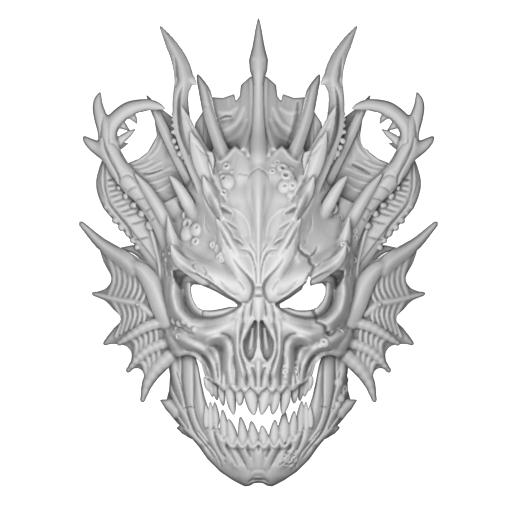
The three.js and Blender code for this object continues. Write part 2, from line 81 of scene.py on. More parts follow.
# Skull forms: v, half width in units, depth in mm.
HEAD_FORM = [
    (100, 40, 34), (125, 58, 50), (150, 72, 66), (175, 84, 77), (200, 91, 85), (235, 95, 91),
    (275, 97, 94), (310, 96, 92), (345, 92, 88), (372, 88, 84),
]
MUZZLE_FORM = [(300, 26, 70), (320, 38, 86), (345, 48, 95), (370, 55, 98), (390, 54, 95), (404, 52, 90)]
JAW_FORM = [
    (330, 98, 52), (370, 94, 60), (410, 92, 68), (440, 82, 73), (455, 72, 70), (466, 65, 66),
    (476, 57, 60), (484, 49, 52), (489, 42, 44),
]
# Hollows: v, half width, depth and how boxy the curve is.
HEAD_HOLLOW = [
    (170, 46, 60, 2.3), (186, 62, 69, 2.3), (203, 80, 75, 2.3), (235, 88, 80, 2.3), (264, 89, 82, 2.3),
    (280, 90, 62, 5), (325, 89, 61, 5), (350, 84, 66, 4), (358, 82, 76, 2.6), (372, 80, 74, 2.6),
]
MUZZLE_HOLLOW = [(352, 47, 66, 3), (364, 48, 86, 3), (390, 46, 84, 3), (405, 45, 82, 3)]
JAW_HOLLOW = [
    (330, 90, 45, 2.3), (370, 86, 53, 2.3), (400, 85, 60, 2.3), (424, 73, 64, 2.3), (444, 56, 64, 2.3),
    (460, 43, 60, 2.3), (474, 26, 48, 2.3),
]
# The room behind the mouth is open up to this depth in mm.
MUZZLE_BACK = 44.0

# Front outlines on the left half.
SKULL_OUTLINE = [
    (258.5, 164), (250, 161), (243, 153), (235, 146), (229, 152), (220, 160), (213, 151), (205, 158),
    (198, 168), (188, 186), (180, 192), (172, 199), (160, 199), (150, 206), (140, 230), (140, 262),
    (150, 300), (158, 330), (164, 343), (170, 352), (178, 357), (186, 354.4), (194, 355.6),
    (201.4, 362.8), (205.2, 375.4), (211, 381), (217, 384), (224, 391), (230, 388), (236, 393),
    (241, 389), (245, 394), (250, 386), (258.5, 395), (262, 395), (262, 164),
]
JAW_OUTLINE = [
    (166, 338), (167, 357), (170, 375), (169, 391), (165, 402), (168, 413), (177, 423), (189, 435),
    (199, 446.6), (208, 459.4), (220.6, 471.8), (233.4, 480.4), (245, 486.5), (250, 485.5), (254, 483),
    (262, 482.5), (262, 437.4), (254, 444), (248, 437), (243, 445), (237, 437), (232, 444),
    (227.4, 433.6), (221, 429), (212, 424), (208, 408), (204.2, 396), (201, 382), (198, 366), (193, 350),
    (190, 338),
]
SOCKET = [
    (172, 270), (179.5, 268.5), (196.3, 273), (211.7, 281.5), (228.6, 294), (239.8, 301), (243, 303.5),
    (242, 306), (235, 311.5), (224, 317), (212, 320.2), (200, 320), (191, 317.5), (184.5, 311),
    (181, 301), (180, 290), (176.4, 284), (172.6, 277),
]
NOSE_HOLE = [
    (257.6, 321), (254.6, 319), (251, 325), (246, 335), (242.8, 341), (243, 349), (246, 357),
    (250, 361.5), (253.6, 357.5), (256.2, 349), (257.4, 336),
]

# Broad forms of the face: path, half width in units, height in mm, as in the solids.
FACE_FORMS = [
    ([(258.5, 300), (258.5, 320)], 13, 9),
    ([(246, 298), (228, 290), (207, 279), (190, 270), (177, 262)], 14, 12),
    ([(172, 276), (169, 294), (174, 312), (188, 326), (206, 332), (228, 328)], 9, 8),
    ([(214, 338), (194, 341), (172, 336)], 11, 7),
    ([(241, 312), (238, 330), (238, 352), (246, 372)], 6, 5),
    ([(222, 348), (212, 360), (207, 374)], 10, -9),
    ([(206, 246), (196, 232), (192, 212)], 15, -7),
    ([(258.5, 168), (258.5, 290)], 6, 3),
    ([(246, 284), (234, 256), (226, 234), (218, 206), (210, 182)], 10, 8),
    ([(172, 258), (168, 236), (160, 212)], 9, 7),
    ([(243, 236), (240, 190)], 11, -4),
    ([(238, 283), (242, 290)], 9, 4),
]

# Carved strokes. Each point holds h, v, half width in units and height in mm, below nought for a groove.
RIDGES = {
    "glabella": [(255, 262, 3, 0.6), (256, 276, 3, 1.6), (257.5, 286, 3, 2)],
    "forehead plate rim": [
        (214, 153, 1.7, 1.2), (218, 161.4, 1.7, 1), (227, 157, 1.6, 1), (234.6, 147.6, 1.7, 1.3),
        (241, 153, 1.6, 0.8),
    ],
    "first blade root": [
        (192, 150, 5, 3), (197, 163, 6.4, 6), (203, 173, 6, 6), (209, 183, 4.6, 4), (214, 194, 3, 2),
    ],
    "first blade flank": [(207, 160, 4, 2), (212, 171, 4.4, 3), (217, 184, 3.4, 2), (221, 194, 2.4, 1)],
    "side spike root": [(180, 192, 3, 1.6), (186, 202, 3.8, 2.6), (191, 212, 4.4, 1.6)],
    "temple spike root": [(168.5, 218, 2, 2), (171, 232, 4, 3.6), (174, 248, 4, 2.6), (178, 262, 4, 2)],
    "temple plate": [(190, 222, 9, 1.6), (197, 238, 9, 1.6), (207, 252, 8, 1.2)],
    "brow": [
        (186, 258, 6, 2), (199, 266, 7, 2.6), (212, 272, 8, 2.6), (226, 280, 9, 3), (240, 289, 9, 4),
    ],
    "brow lump": [(232, 282, 6, 2), (239, 288, 8, 4.4), (243, 291.6, 8.4, 5.6)],
    "orbit rim": [
        (173.5, 287, 5, 4), (174.6, 299, 5.8, 5.4), (178.6, 311, 5.8, 5.4), (187, 319.4, 5.2, 4.6),
        (198, 323.6, 4.6, 3.6), (212, 324, 4.4, 3), (226, 320, 4, 2.6), (238, 313, 3.2, 1.8),
    ],
    "cheek body": [(197, 331, 6, 3), (210, 331.4, 6.6, 3.8), (222, 327.6, 5.6, 3), (232, 320, 4, 2)],
    "cheek bar": [
        (174, 333, 3.4, 2.4), (179, 336.4, 4, 4), (188, 342.6, 4.8, 5.4), (199, 348.4, 4.2, 5.4),
        (207.6, 354.6, 3, 4.6), (212.2, 364, 2.6, 3.6), (214.6, 377, 2.4, 3),
    ],
    "cheek corner": [
        (166.5, 337, 4, 2), (170.6, 346.6, 5, 3.8), (176.6, 352.8, 4.6, 3.8), (184, 353.6, 3, 2),
    ],
    "muzzle edge": [
        (192, 357, 2.4, 2.4), (199.4, 363, 2.4, 3.2), (204, 373, 2.4, 3.2), (208, 380, 2.4, 2),
    ],
    "arch rim": [
        (207, 341, 2.6, 3), (215, 337, 3.2, 4), (222.6, 338.8, 3.4, 5), (227, 346, 3.4, 5.4),
        (228.2, 357, 3.2, 5.4), (228.4, 369, 3.4, 4.8), (230, 382, 3.6, 3.8),
    ],
    "second cheek ridge": [
        (238.4, 322, 2.2, 2.4), (237.6, 336, 2.1, 3.2), (237.2, 348, 2.1, 3.2), (239, 360, 2.3, 3.6),
        (241.6, 373, 2.6, 3.8), (241.2, 386, 2.8, 3),
    ],
    "nose rim": [
        (250.4, 317, 1.8, 1.6), (247.4, 325, 2, 2.6), (244.6, 334, 2, 3.2), (242.3, 343, 2, 3.4),
        (243, 353, 2, 3.6), (246.8, 361, 2.2, 3.6), (252.6, 365.6, 2.4, 3),
    ],
    "nose bridge": [(258.5, 299, 3.6, 2.4), (258.5, 311, 3.4, 3.2), (258.5, 322, 2, 2.4)],
    "nose side": [(249, 300, 2, 1.4), (247.4, 310, 2.1, 2.2), (245.6, 322, 1.9, 1.8)],
    "septum foot": [(258.5, 361, 2.6, 4), (258.5, 376, 2.2, 3.6), (258.5, 392, 2, 2)],
    "bridge bead": [(255.4, 291.6, 3.2, 3.6), (258.5, 291.6, 3.6, 4.6)],
    "bridge bead foot": [(256.4, 298, 2.2, 1.8), (258.5, 298.4, 2.4, 2.6)],
    "root of the front tooth": [(250.6, 369, 2.2, 2.8), (251.4, 379, 3, 3.6), (252.2, 387, 3.8, 3.4)],
    "root of the third tooth": [(218.6, 366, 2, 1.6), (221.4, 377, 2.6, 2.8), (222.4, 387, 3, 2.6)],
    "root of the back tooth": [(216, 372, 1.8, 1.6), (215, 383, 2.6, 2.4)],
    "temple strand": [
        (150, 230, 2.6, 2.6), (153, 246, 3, 3.4), (157.6, 262, 3, 3.4), (163, 280, 3, 3),
        (167, 293, 2.4, 1.6),
    ],
    "rear temple ridge": [
        (165, 232, 3, 1.6), (166, 252, 3.4, 2.6), (164.6, 276, 3.4, 2.6), (167, 300, 3, 1.6),
    ],
    "rear cheek ridge": [(161, 316, 3, 1.4), (164.4, 332, 3.4, 3), (168, 346, 3, 2)],
    "temple fold": [(213, 244, 1.6, 1), (217, 250, 1.8, 1.2), (220, 257, 1.4, 0.6)],
    "temple fold beside it": [(219, 240, 1.4, 0.9), (222, 247, 1.6, 1.2), (224, 254, 1.2, 0.6)],
    "second temple strand": [
        (157, 226, 2.2, 2.4), (160.6, 240, 2.4, 3), (164, 256, 2.4, 2.6), (168, 272, 2.2, 1.6),
    ],
    "forehead keel": [
        (258.5, 171, 3, 1.6), (258.5, 179, 8, 2.6), (258.5, 190, 10, 3.4), (258.5, 202, 8, 3.2),
        (258.5, 216, 4.4, 2.8), (258.5, 234, 2.2, 2.4), (258.5, 262, 1.7, 2), (258.5, 284, 1.5, 1.4),
    ],
    "keel crest": [
        (258.5, 182, 3, 0.4), (258.5, 193, 4, 1.8), (258.5, 204, 3.6, 1.7), (258.5, 214, 2.6, 0.7),
    ],
}
LIPS = {
    "third blade": [
        (203.8, 178, 1, 1.4), (206.4, 184.4, 2.8, 4.4), (209.6, 190.8, 4, 6.6), (214, 199.6, 4.2, 7),
        (218.2, 208, 3.2, 5), (221.6, 215, 1.8, 2.4),
    ],
    "fourth blade": [
        (216.8, 219.2, 1, 1.5), (221.6, 226.4, 3, 4.2), (226.4, 233.6, 3.6, 5), (230.6, 241, 3.4, 3.8),
        (235, 248, 2.6, 2), (239, 254, 2, 0.8),
    ],
    "brow edge": [
        (172, 250, 2, 3), (177.6, 257, 3.4, 5), (185, 264, 4.2, 6), (194.6, 270.6, 4, 5),
        (205, 277.2, 3.4, 4), (216, 285.2, 3, 3.4), (228, 294.2, 2.8, 3), (239, 300.4, 2.6, 2.6),
    ],
    "upper gum": [
        (203.4, 371, 1.6, 1.6), (207.6, 377, 1.8, 2), (213, 379.6, 1.8, 2), (218, 382.4, 1.9, 2.2),
        (223.8, 388.4, 1.8, 2), (226.6, 386, 1.8, 2), (230, 384.6, 2, 2.2), (233.4, 387.4, 1.9, 2),
        (236.4, 390.6, 1.8, 2), (239, 387.4, 1.8, 2), (241.4, 386.4, 1.8, 2), (244.8, 391, 1.7, 2),
        (247.4, 386, 2, 2.2), (250.6, 382.8, 2, 2.4), (254, 385.6, 2, 2.4), (258.5, 392.6, 2, 2.2),
    ],
}
CRESTS = {
    "upper crest": [
        (216.5, 199, 1.8, 1.8), (226, 206.4, 1.8, 1.5), (236, 210, 1.6, 1.2), (244, 217, 1.6, 1),
        (249, 227, 1.5, 1), (251, 240, 1.5, 1), (256, 254, 1.5, 1),
    ],
    "lower crest": [
        (218, 203, 1.8, 2), (221.4, 213.6, 1.8, 2), (230.4, 224.3, 1.6, 1.5), (238, 230, 1.4, 0.8),
    ],
    "loop of the upper slit": [
        (221, 204.5, 1.1, 0.8), (229, 208, 1.3, 1.2), (233.5, 214, 1.2, 1.1), (231, 220, 1.1, 0.6),
    ],
    "loop of the lower slit": [(231, 235.5, 1.2, 0.8), (238, 238, 1.3, 1.1), (243.5, 244, 1.2, 0.8)],
    "centre vein": [
        (242, 236, 1.3, 0.8), (247, 244, 1.5, 1.2), (252, 252, 1.5, 1.4), (255.5, 266, 1.4, 1),
    ],
    "loop of the leaf": [(240.6, 250, 1.1, 0.8), (243.6, 255.6, 1.2, 1), (248.6, 255, 1.1, 0.8)],
}
HOLLOWS = {
    "inside the blade": [(210, 166, 3, -1), (214, 180, 4, -2.4), (218, 194, 3.4, -1.6)],
}
GROOVES = {
    "round the brow lump": [
        (233.5, 259.5, 1.2, -1.4), (240.4, 268.6, 1.5, -2.8), (248.6, 277.4, 1.7, -4),
        (253.2, 285.6, 1.9, -5), (252.6, 294, 2, -5.2), (248.2, 301.4, 1.9, -4.2), (240, 302.4, 1.3, -2),
    ],
    "brow swirl": [
        (221, 281, 0.9, -1), (227.6, 289, 1.1, -1.8), (234, 294, 1.2, -1.6), (240, 294.6, 1, -1),
    ],
    "inner vein": [
        (240.2, 250.2, 1.1, -1.2), (247, 251, 1.3, -1.8), (252.7, 258.2, 1.4, -2.2),
        (255.6, 271.6, 1.3, -2.2), (256.4, 283, 1.2, -1.8),
    ],
    "upper vein": [(250, 244.8, 1, -1), (255.4, 253, 1.1, -1.4), (257, 262, 1, -1)],
    "upper slit": [(219.6, 207, 1.4, -3), (225, 210.6, 2.6, -6.4), (231, 213.4, 1.4, -3)],
    "middle slit": [(225.9, 220.7, 1.1, -2), (231, 225, 1.8, -4.4), (237, 229, 1.1, -2)],
    "lower slit": [(233, 238.6, 1.1, -2), (238, 241.3, 1.7, -4), (242.4, 244.4, 1.1, -2)],
    "brow crease": [(219, 279.5, 0.8, -0.8), (224, 286, 1.1, -1.6), (229.4, 292.4, 1.1, -1.4)],
    "brow hollow": [(223, 262, 4, -1.6), (230, 270, 4.4, -2.6), (236, 278, 3.2, -1.6)],
    "beside the first blade": [
        (207, 153, 2.2, -2), (211.6, 160, 3, -4), (211, 172, 3, -4.4), (213, 182, 2.6, -3),
    ],
    "outside the first blade": [
        (189, 158, 2, -2), (195.4, 172, 2.4, -3.4), (202, 184, 2.4, -3.4), (206, 193, 2.4, -3),
    ],
    "beside the third blade": [
        (203.6, 192, 1.6, -2), (207.6, 201, 2.4, -4.6), (212, 209.6, 2.8, -5.6), (216, 216, 2.4, -4),
        (219, 220.4, 1.4, -2),
    ],
    "beside the fourth blade": [
        (218, 227, 1.2, -1.4), (221.8, 234, 1.8, -3), (225.6, 241, 1.8, -3), (230, 248, 1.3, -1.6),
    ],
    "above the third blade": [(213, 183, 2.2, -2), (220, 193, 2.4, -2.8), (225, 201, 2, -2)],
    "above the fourth blade": [(224, 222, 1.6, -1.6), (230, 231, 1.6, -2), (234.6, 241, 1.4, -1.2)],
    "side spike foot": [(170, 184, 2, -2), (175, 196, 2.4, -3), (182, 208, 2.4, -2)],
    "side spike inside": [(181, 184, 2, -2), (189, 195, 2.2, -2.6), (195, 206, 2, -2)],
    "behind the brow horn": [(167.6, 250, 2.2, -3), (167, 262, 2.6, -4.6), (168.6, 274, 2.4, -3.6)],
    "under the brow horn": [(176, 245, 1.8, -1.6), (183, 254, 2, -2.4), (193, 260.6, 1.8, -1.6)],
    "under the orbit rim": [(178, 325, 1.6, -2), (186, 331, 1.7, -2.6), (193, 334, 1.6, -2)],
    "cheek arch": [
        (211, 345.6, 2.4, -4), (215.8, 345.6, 3.4, -9), (220.6, 350, 3.6, -10), (221.8, 360, 2.8, -8),
        (221.6, 371, 2, -5), (221, 382, 1.6, -2.6),
    ],
    "cheek underside": [
        (186, 349.6, 1.4, -1.6), (193, 350.4, 2.2, -5), (201, 353.8, 2.6, -7.4), (207.4, 361, 2.3, -7),
        (211, 370, 2, -5.4), (212.6, 379, 1.6, -3),
    ],
    "beside the arch rim": [
        (222, 333, 1.4, -2.4), (228, 335.2, 1.7, -4), (232.6, 341.4, 1.8, -4.6), (234, 350, 1.7, -4.6),
        (234.8, 361, 1.6, -4.6), (236.4, 372, 1.5, -4), (236.6, 384, 1.4, -3),
    ],
    "beside the nose rim": [
        (243.8, 321, 1.2, -2), (241.2, 331, 1.3, -3.2), (239.7, 343, 1.3, -3.6), (240.6, 354, 1.4, -4),
        (244, 364, 1.5, -4.2), (246.8, 375, 1.5, -4), (246.8, 387, 1.3, -2.8),
    ],
    "upper lip": [(252, 367.4, 1.2, -2.4), (255, 375, 1.4, -3), (255.8, 386, 1.2, -2.2)],
    "behind the third tooth": [(216.4, 364, 1.1, -2), (218, 376, 1.2, -2.2)],
    "before the third tooth": [(225.6, 372, 1.2, -2), (226.6, 383, 1.2, -2.2)],
    "nose side": [(252.4, 300, 1.2, -2), (251.4, 310, 1.2, -2.6), (250.6, 317, 1, -2)],
    "second nose side": [(244.4, 303, 1, -1.4), (243.2, 313, 1.1, -2), (242.4, 321, 1, -1.4)],
    "above the bridge bead": [(252.5, 286.6, 1.1, -2.4), (258.5, 287, 1.3, -3)],
    "below the bridge bead": [(252.5, 296, 1, -2.4), (258.5, 296, 1.2, -3)],
    "cheek edge": [(163, 326, 1.6, -2), (166, 340, 1.7, -2.4), (170.6, 351, 1.3, -1.4)],
    "rear temple groove": [
        (161, 226, 2, -2.4), (162, 246, 2.4, -3.4), (161, 270, 2.2, -3), (163, 296, 1.8, -2.4),
    ],
    "temple crack": [(205.4, 215.4, 0.9, -1), (205.8, 226, 1, -1.4), (209, 232, 0.8, -0.9)],
    "brow inner swirl": [
        (232.6, 275, 0.8, -0.6), (240, 282, 1.1, -1.6), (244, 288.6, 1.1, -1.6), (242.6, 293.6, 1, -1),
    ],
    "between the temple strands": [
        (153, 226, 1.3, -2), (157, 240, 1.5, -3), (160, 256, 1.5, -3), (164.6, 274, 1.3, -2),
    ],
    "temple pit": [(164.6, 240, 1.6, -3), (166, 244.6, 1.8, -4)],
    "second temple pit": [(168.4, 262, 1.6, -3), (170.4, 267, 1.6, -3)],
    "keel arch": [
        (247.6, 181, 1, -0.6), (249, 176.6, 1.1, -1.2), (252.4, 172, 1.1, -1.5), (256, 169.4, 1, -1.5),
        (258.5, 168.2, 1, -1.4),
    ],
    "striped hollow": [(215, 232, 0.8, -0.6), (217, 238, 1, -1.2), (216.4, 244, 0.8, -0.6)],
    "second stripe": [(219, 232, 0.8, -0.6), (221, 238, 1, -1.2), (221, 245, 0.8, -0.6)],
    "beside the keel": [
        (252, 184, 1.6, -0.3), (252.4, 194, 2.4, -1.2), (253.4, 205, 2.2, -1.1), (255.4, 217, 1.2, -0.5),
    ],
}
# The eye socket inside its rim: lids round the hole, with deep grooves between them.
SOCKET_RIDGES = {
    "lower lid": [
        (187.6, 285, 3.4, 5), (188.6, 294, 4.2, 6), (192, 303.4, 4.8, 6.6), (199, 311, 5, 6.8),
        (210, 313.8, 4.8, 6.8), (223, 312, 3.8, 6.4), (235, 307.4, 2.6, 5.6), (242, 304.6, 2, 5),
    ],
    "outer lid": [
        (182.4, 290, 1.8, 2.6), (183.4, 302, 2, 3.6), (188, 311.6, 2, 3.8), (195, 317, 1.8, 3.6),
        (206, 319.4, 1.4, 2.4),
    ],
    "upper lid": [
        (183.6, 288, 2.4, 1.6), (184.6, 281, 3, 3.4), (189.4, 278, 3.4, 5), (197, 279, 3.2, 5.4),
        (206, 283, 2.6, 5), (216, 288.6, 2.2, 4.4), (230, 296.6, 1.8, 3.4),
    ],
}
SOCKET_GROOVES = {
    "upper lid crease": [
        (178.8, 287.6, 1, -1.4), (180.6, 280.6, 1.1, -1.8), (184, 276, 1.1, -1.8), (189, 273.8, 1, -1.2),
    ],
    "lower lid crease": [
        (184.6, 293, 1, -1.4), (185.4, 302.4, 1.2, -2), (189.8, 310.4, 1.2, -2), (197, 316.2, 1.1, -2),
        (208, 318.6, 1, -1.6), (222, 316, 0.9, -1.2),
    ],
}
JAW_RIDGES = {
    "ramus front": [
        (188.4, 350, 5, 2), (188.6, 370, 5.4, 2.4), (188.8, 386, 5.4, 2.4), (190.2, 402, 5.4, 2.4),
        (193.4, 416, 5.2, 2.2), (198, 428, 4.8, 2), (205, 441, 3.6, 1.4),
    ],
    "ramus plate": [
        (170, 352, 3.4, 2), (171.6, 366, 4.4, 2.6), (175.6, 380, 4, 2.8), (180, 392, 3, 2),
        (183, 402, 2, 1.2),
    ],
    "ramus inner band": [
        (196.6, 366, 1.8, 1.4), (198, 384, 2.4, 2), (199.4, 400, 3.2, 2.4), (202, 414, 4, 2.4),
        (206, 426, 3.4, 1.6),
    ],
    "upper spur": [(161, 400.5, 2, 2), (169, 405.5, 4, 4), (177, 413, 3.6, 2.6)],
    "lower spur": [(178, 428.5, 2, 1.6), (186, 431, 3.4, 3), (194, 438, 3, 1.6)],
    "back gum": [(205, 416, 2.6, 2), (207.6, 428, 3, 2.6), (213, 434, 3, 2)],
    "root ball": [(216.2, 423, 2.6, 2.4), (216.8, 425, 2.8, 2.8)],
    "first flute": [(210.4, 434, 2.8, 2.4), (215, 447, 3, 2), (222, 461, 3, 1)],
    "second flute": [(220, 437, 2.6, 2.4), (224, 448, 2.8, 2), (230, 461, 3, 1)],
    "third flute": [(230.4, 450, 2.4, 2), (236, 462, 3, 1.8), (243, 474, 4, 1.6)],
    "fourth flute": [(244.6, 450, 2.2, 2), (248.6, 459, 2.6, 1.6), (253, 468, 3, 0.8)],
    "fifth flute": [(256.6, 449, 2.2, 1.8), (257.6, 459, 2.8, 1.6), (258.5, 470, 4, 1)],
    "chin lump": [(243, 472, 7, 1.6), (247, 479, 6, 2.4)],
    "notch lip": [(249.6, 476.6, 2, 1.2), (254, 473, 2.6, 2), (258.5, 472, 3, 2.2)],
    "second notch line": [(251, 480.6, 1.2, 2), (255, 478, 1.3, 2.4), (258.5, 477.4, 1.4, 2.6)],
    "collar of the long tooth": [
        (226.8, 438, 1.88, 2.4), (229, 444, 2.12, 3.2), (232.4, 446.6, 2.25, 3.8),
        (235.4, 444.2, 2.12, 3.2), (237.6, 438.4, 1.88, 2.4),
    ],
    "collar of the fang": [
        (238, 439, 1.88, 2.4), (239.8, 444.6, 2.12, 3.2), (242.6, 446.8, 2.25, 3.8),
        (245.6, 444.2, 2.12, 3.2), (247.8, 439, 1.88, 2.4),
    ],
    "collar of the blunt tooth": [
        (248.4, 439.6, 1.88, 2.4), (250.2, 445, 2.12, 3.2), (253, 447.2, 2.25, 3.8),
        (256, 444.8, 2.12, 3.2), (258.5, 440, 2.0, 2.7),
    ],
    "collar of the bent tooth": [
        (217.4, 434, 1.6, 1.6), (219.6, 438.6, 1.8, 2.4), (223, 441.6, 2, 2.8), (226.4, 438.6, 1.7, 2),
    ],
    "second ramus plate": [
        (170, 386, 2.4, 1.4), (173.6, 397, 3.6, 2.4), (179, 407, 3.6, 2.6), (185, 417, 3, 2),
        (190, 426, 2.4, 1.2),
    ],
    "third ramus plate": [
        (176, 412, 2.4, 1.6), (183, 422, 3, 2.4), (191, 432, 2.8, 2), (199, 443, 2.4, 1.2),
    ],
}
JAW_GROOVES = {
    "behind the ramus front": [
        (181.6, 352, 1.2, -2), (182.2, 370, 1.5, -3), (182.4, 384, 1.5, -3), (185, 400, 1.5, -3.2),
        (187.6, 412, 1.5, -3.2), (191.6, 424, 1.4, -3), (197, 434.6, 1.3, -2.6), (206, 446, 1.2, -2),
        (214, 457, 1, -1.2),
    ],
    "before the ramus front": [
        (193.6, 356, 0.9, -1), (193.8, 374, 1.2, -2), (194.2, 390, 1.3, -2.4), (194, 404, 1.3, -2.4),
        (196.6, 417, 1.5, -2.6), (201.4, 428.6, 1.5, -2), (208, 440, 1.2, -1.2),
    ],
    "ramus crack": [(182, 408.4, 0.9, -1.6), (193, 406.4, 0.9, -1.6)],
    "spur seam": [
        (169.4, 396, 1.4, -2), (173.6, 405, 1.5, -2.8), (180, 417, 1.5, -2.6), (188, 428, 1.3, -2),
    ],
    "jaw crack": [
        (197.6, 431, 1, -1.6), (206, 441, 1.1, -2.4), (214, 450, 1.2, -2.6), (220.4, 462, 1, -2),
        (222, 468, 0.8, -1.4),
    ],
    "first flute side": [(214.4, 432, 1.4, -2.6), (218, 445, 1.5, -2.4), (223.4, 456, 1.2, -1.4)],
    "under the long tooth": [(227, 446, 2.4, -4), (231.4, 454, 2.4, -3.6), (237, 465, 1.6, -1.6)],
    "under the fang": [(237.6, 449.6, 2.2, -4), (241.6, 456.4, 1.9, -3.4), (248.4, 470, 0.9, -1.2)],
    "under the blunt tooth": [(247.8, 450, 2, -3.8), (250.6, 456, 1.7, -2.2)],
    "under the middle": [(258.5, 446.6, 1.8, -3), (258.5, 450, 1.6, -1.6)],
    "chin notch": [(248.6, 482, 1.4, -2), (253, 479.4, 1.8, -4), (258.5, 478.8, 2, -5)],
    "chin notch foot": [(250.6, 485.6, 2.6, -3), (258.5, 483.4, 3.6, -6)],
    "small pit": [(224.2, 454.6, 1.4, -2.6), (224.8, 456, 1.4, -2.6)],
    "second pit": [(225.2, 461, 1, -1.8), (225.6, 462, 1, -1.8)],
    "plate edge": [(176.6, 372, 0.9, -1.4), (180.4, 384, 1.1, -2), (182.6, 393, 1, -1.6)],
    "second plate edge": [
        (170.4, 382, 0.9, -1.4), (173.8, 391, 1.1, -2), (178.4, 400, 1.1, -2), (184.9, 412, 1, -1.4),
    ],
}

# Tapered spikes from root to tip: h, v, depth in mm, radius in mm.
SPINE_HEAD = [
    (258.5, 88, 39, 3.4), (258.5, 78, 39, 4.6), (258.5, 70, 39, 6.8), (258.5, 60, 38.6, 7.5),
    (258.5, 52, 38, 5.8), (258.5, 44, 37, 4.4), (258.5, 30, 35, 2.5), (258.5, 18, 33, 0.5),
]
SPINE_STEM = [
    (258.5, 182, 62, 9.4), (258.5, 170, 65.6, 9.4), (258.5, 160, 65, 8.8), (258.5, 149, 59, 7.4),
    (258.5, 135, 51, 5.4), (258.5, 120, 45.6, 4.2), (258.5, 100, 42.6, 3.6), (258.5, 84, 42, 3.6),
    (258.5, 74, 42.4, 4.7), (258.5, 66, 42, 4.4), (258.5, 60, 40.6, 1.6),
]
SPIKES = {
    "crown_spike": [
        (228, 168, 60, 6), (217, 137, 50, 5), (209, 112, 45, 4.9), (205, 93, 41, 4.8), (200.6, 82, 38, 3),
        (197.6, 75, 36, 1),
    ],
    "blade_horn": [
        (206, 186, 66, 8), (194, 158, 60, 8), (183.6, 130, 52, 7.3), (180.6, 108, 48, 6.4),
        (181, 92, 46, 6), (183.8, 78, 45, 7.6), (179.2, 60, 43, 6.3), (170.4, 43, 41, 4.3),
        (160.4, 26.6, 38, 0.9),
    ],
    "blade_barb": [(184, 79, 45, 5), (191, 80, 46, 3.8), (196.5, 85.5, 47, 0.5)],
    "rear_spike": [
        (192, 186, 42, 4.6), (178, 158, 38, 4.3), (165, 132, 36, 3.9), (153, 107, 33, 3.1),
        (147, 95.5, 31, 0.7),
    ],
    "ridge_spike_1": [
        (207, 168, 64, 7), (199, 152, 67, 6.8), (191.5, 135, 69, 5.4), (186, 120, 69.6, 3.6),
        (181, 106, 70, 0.5),
    ],
    "ridge_spike_2": [
        (208.6, 181, 74, 5), (204.4, 171, 76.8, 6), (200.4, 160, 78.2, 6.2), (197, 150, 78.6, 5.2),
        (194, 141, 79, 3.4), (190.6, 132, 80, 0.6),
    ],
    "ridge_spike_3": [
        (214, 204, 80, 3.6), (209, 193, 84, 4), (205.8, 184, 86, 2.8), (203.4, 176.8, 88, 0.5),
    ],
    "ridge_spike_4": [
        (230, 241, 88, 3.6), (224, 231, 91, 3.8), (219.6, 224, 93, 2.4), (216.4, 218.8, 95, 0.5),
    ],
    "temple_spike": [(188, 268, 48, 4), (178, 254, 56, 5), (171.5, 236, 62, 4), (168, 217, 70, 0.5)],
    "brow_horn": [
        (205, 281, 86, 4), (192, 271, 86, 4.6), (181, 262, 86, 4.8), (175, 254, 87, 3.2),
        (171.4, 245, 90, 0.5),
    ],
    "side_spike": [
        (192, 212, 58, 4.6), (187.5, 203, 66, 4.8), (181, 191, 67, 4), (175, 182, 67.4, 2.6),
        (170.4, 176.6, 68, 0.7),
    ],
    "arm_spike": [
        (172, 234, 44, 4), (165, 220, 52, 4.6), (156, 204, 52, 4.5), (146, 188, 50, 3.6),
        (135.4, 174.4, 50, 0.7),
    ],
    "loop_horn": [
        (172, 246, 44, 8.4), (160, 218, 43, 8.6), (146, 198, 42, 8.6), (128, 180, 41, 8.2),
        (114.8, 161, 40, 8), (108, 142, 39, 7.4), (112.4, 124, 38.6, 6.4), (127.8, 109.6, 40, 6),
        (146, 104.8, 42.6, 4.6), (157, 105.8, 45, 3), (164.2, 108.4, 47, 0.8),
    ],
    "loop_prong_up": [
        (106.4, 134, 37, 6), (101.4, 120, 37, 5.4), (98, 108, 36.4, 4.3), (97.8, 100, 36.4, 3),
        (99.6, 93.4, 36.6, 1),
    ],
    "loop_prong_out": [
        (107, 153, 37, 6.6), (99, 149, 36, 5.4), (92, 144.6, 35.4, 4.2), (87, 140.6, 34.6, 2.8),
        (84.4, 137.8, 34.2, 1.4),
    ],
    "loop_tooth_1": [(128, 112, 39, 3.6), (133, 117, 38, 2.6), (137, 123.4, 38, 0.4)],
    "loop_tooth_2": [(117, 121, 37, 3.6), (123, 125.6, 37, 2.6), (129, 130, 37, 0.4)],
    "loop_tooth_3": [
        (113, 145, 38, 3.8), (123, 138, 39, 3), (129, 133.6, 39, 2.2), (134.6, 129.4, 39, 0.5),
    ],
    "loop_tooth_4": [(114, 148, 36, 3.4), (121, 145.4, 35, 2.4), (127.6, 143.4, 35, 0.4)],
    "rear_coil": [
        (163, 262, 34, 9), (149, 242, 30, 10.5), (132.5, 220, 27, 11.4), (115.8, 200, 25, 11.9),
        (107.2, 185, 25, 9), (105.4, 172, 27, 5.8), (106, 161, 29, 3.4),
    ],
    "rear_spur": [(166, 276, 36, 6), (150, 260, 27, 5), (136, 250, 22, 3.6), (121, 248.5, 18, 0.8)],
    "jaw_spike_upper": [(178, 412, 36, 6), (169, 405, 32, 4.6), (160.5, 400.5, 29, 0.6)],
    "jaw_spike_lower": [(193, 433.4, 42, 4.6), (184, 429, 37, 4), (177, 428.3, 33, 0.6)],
}
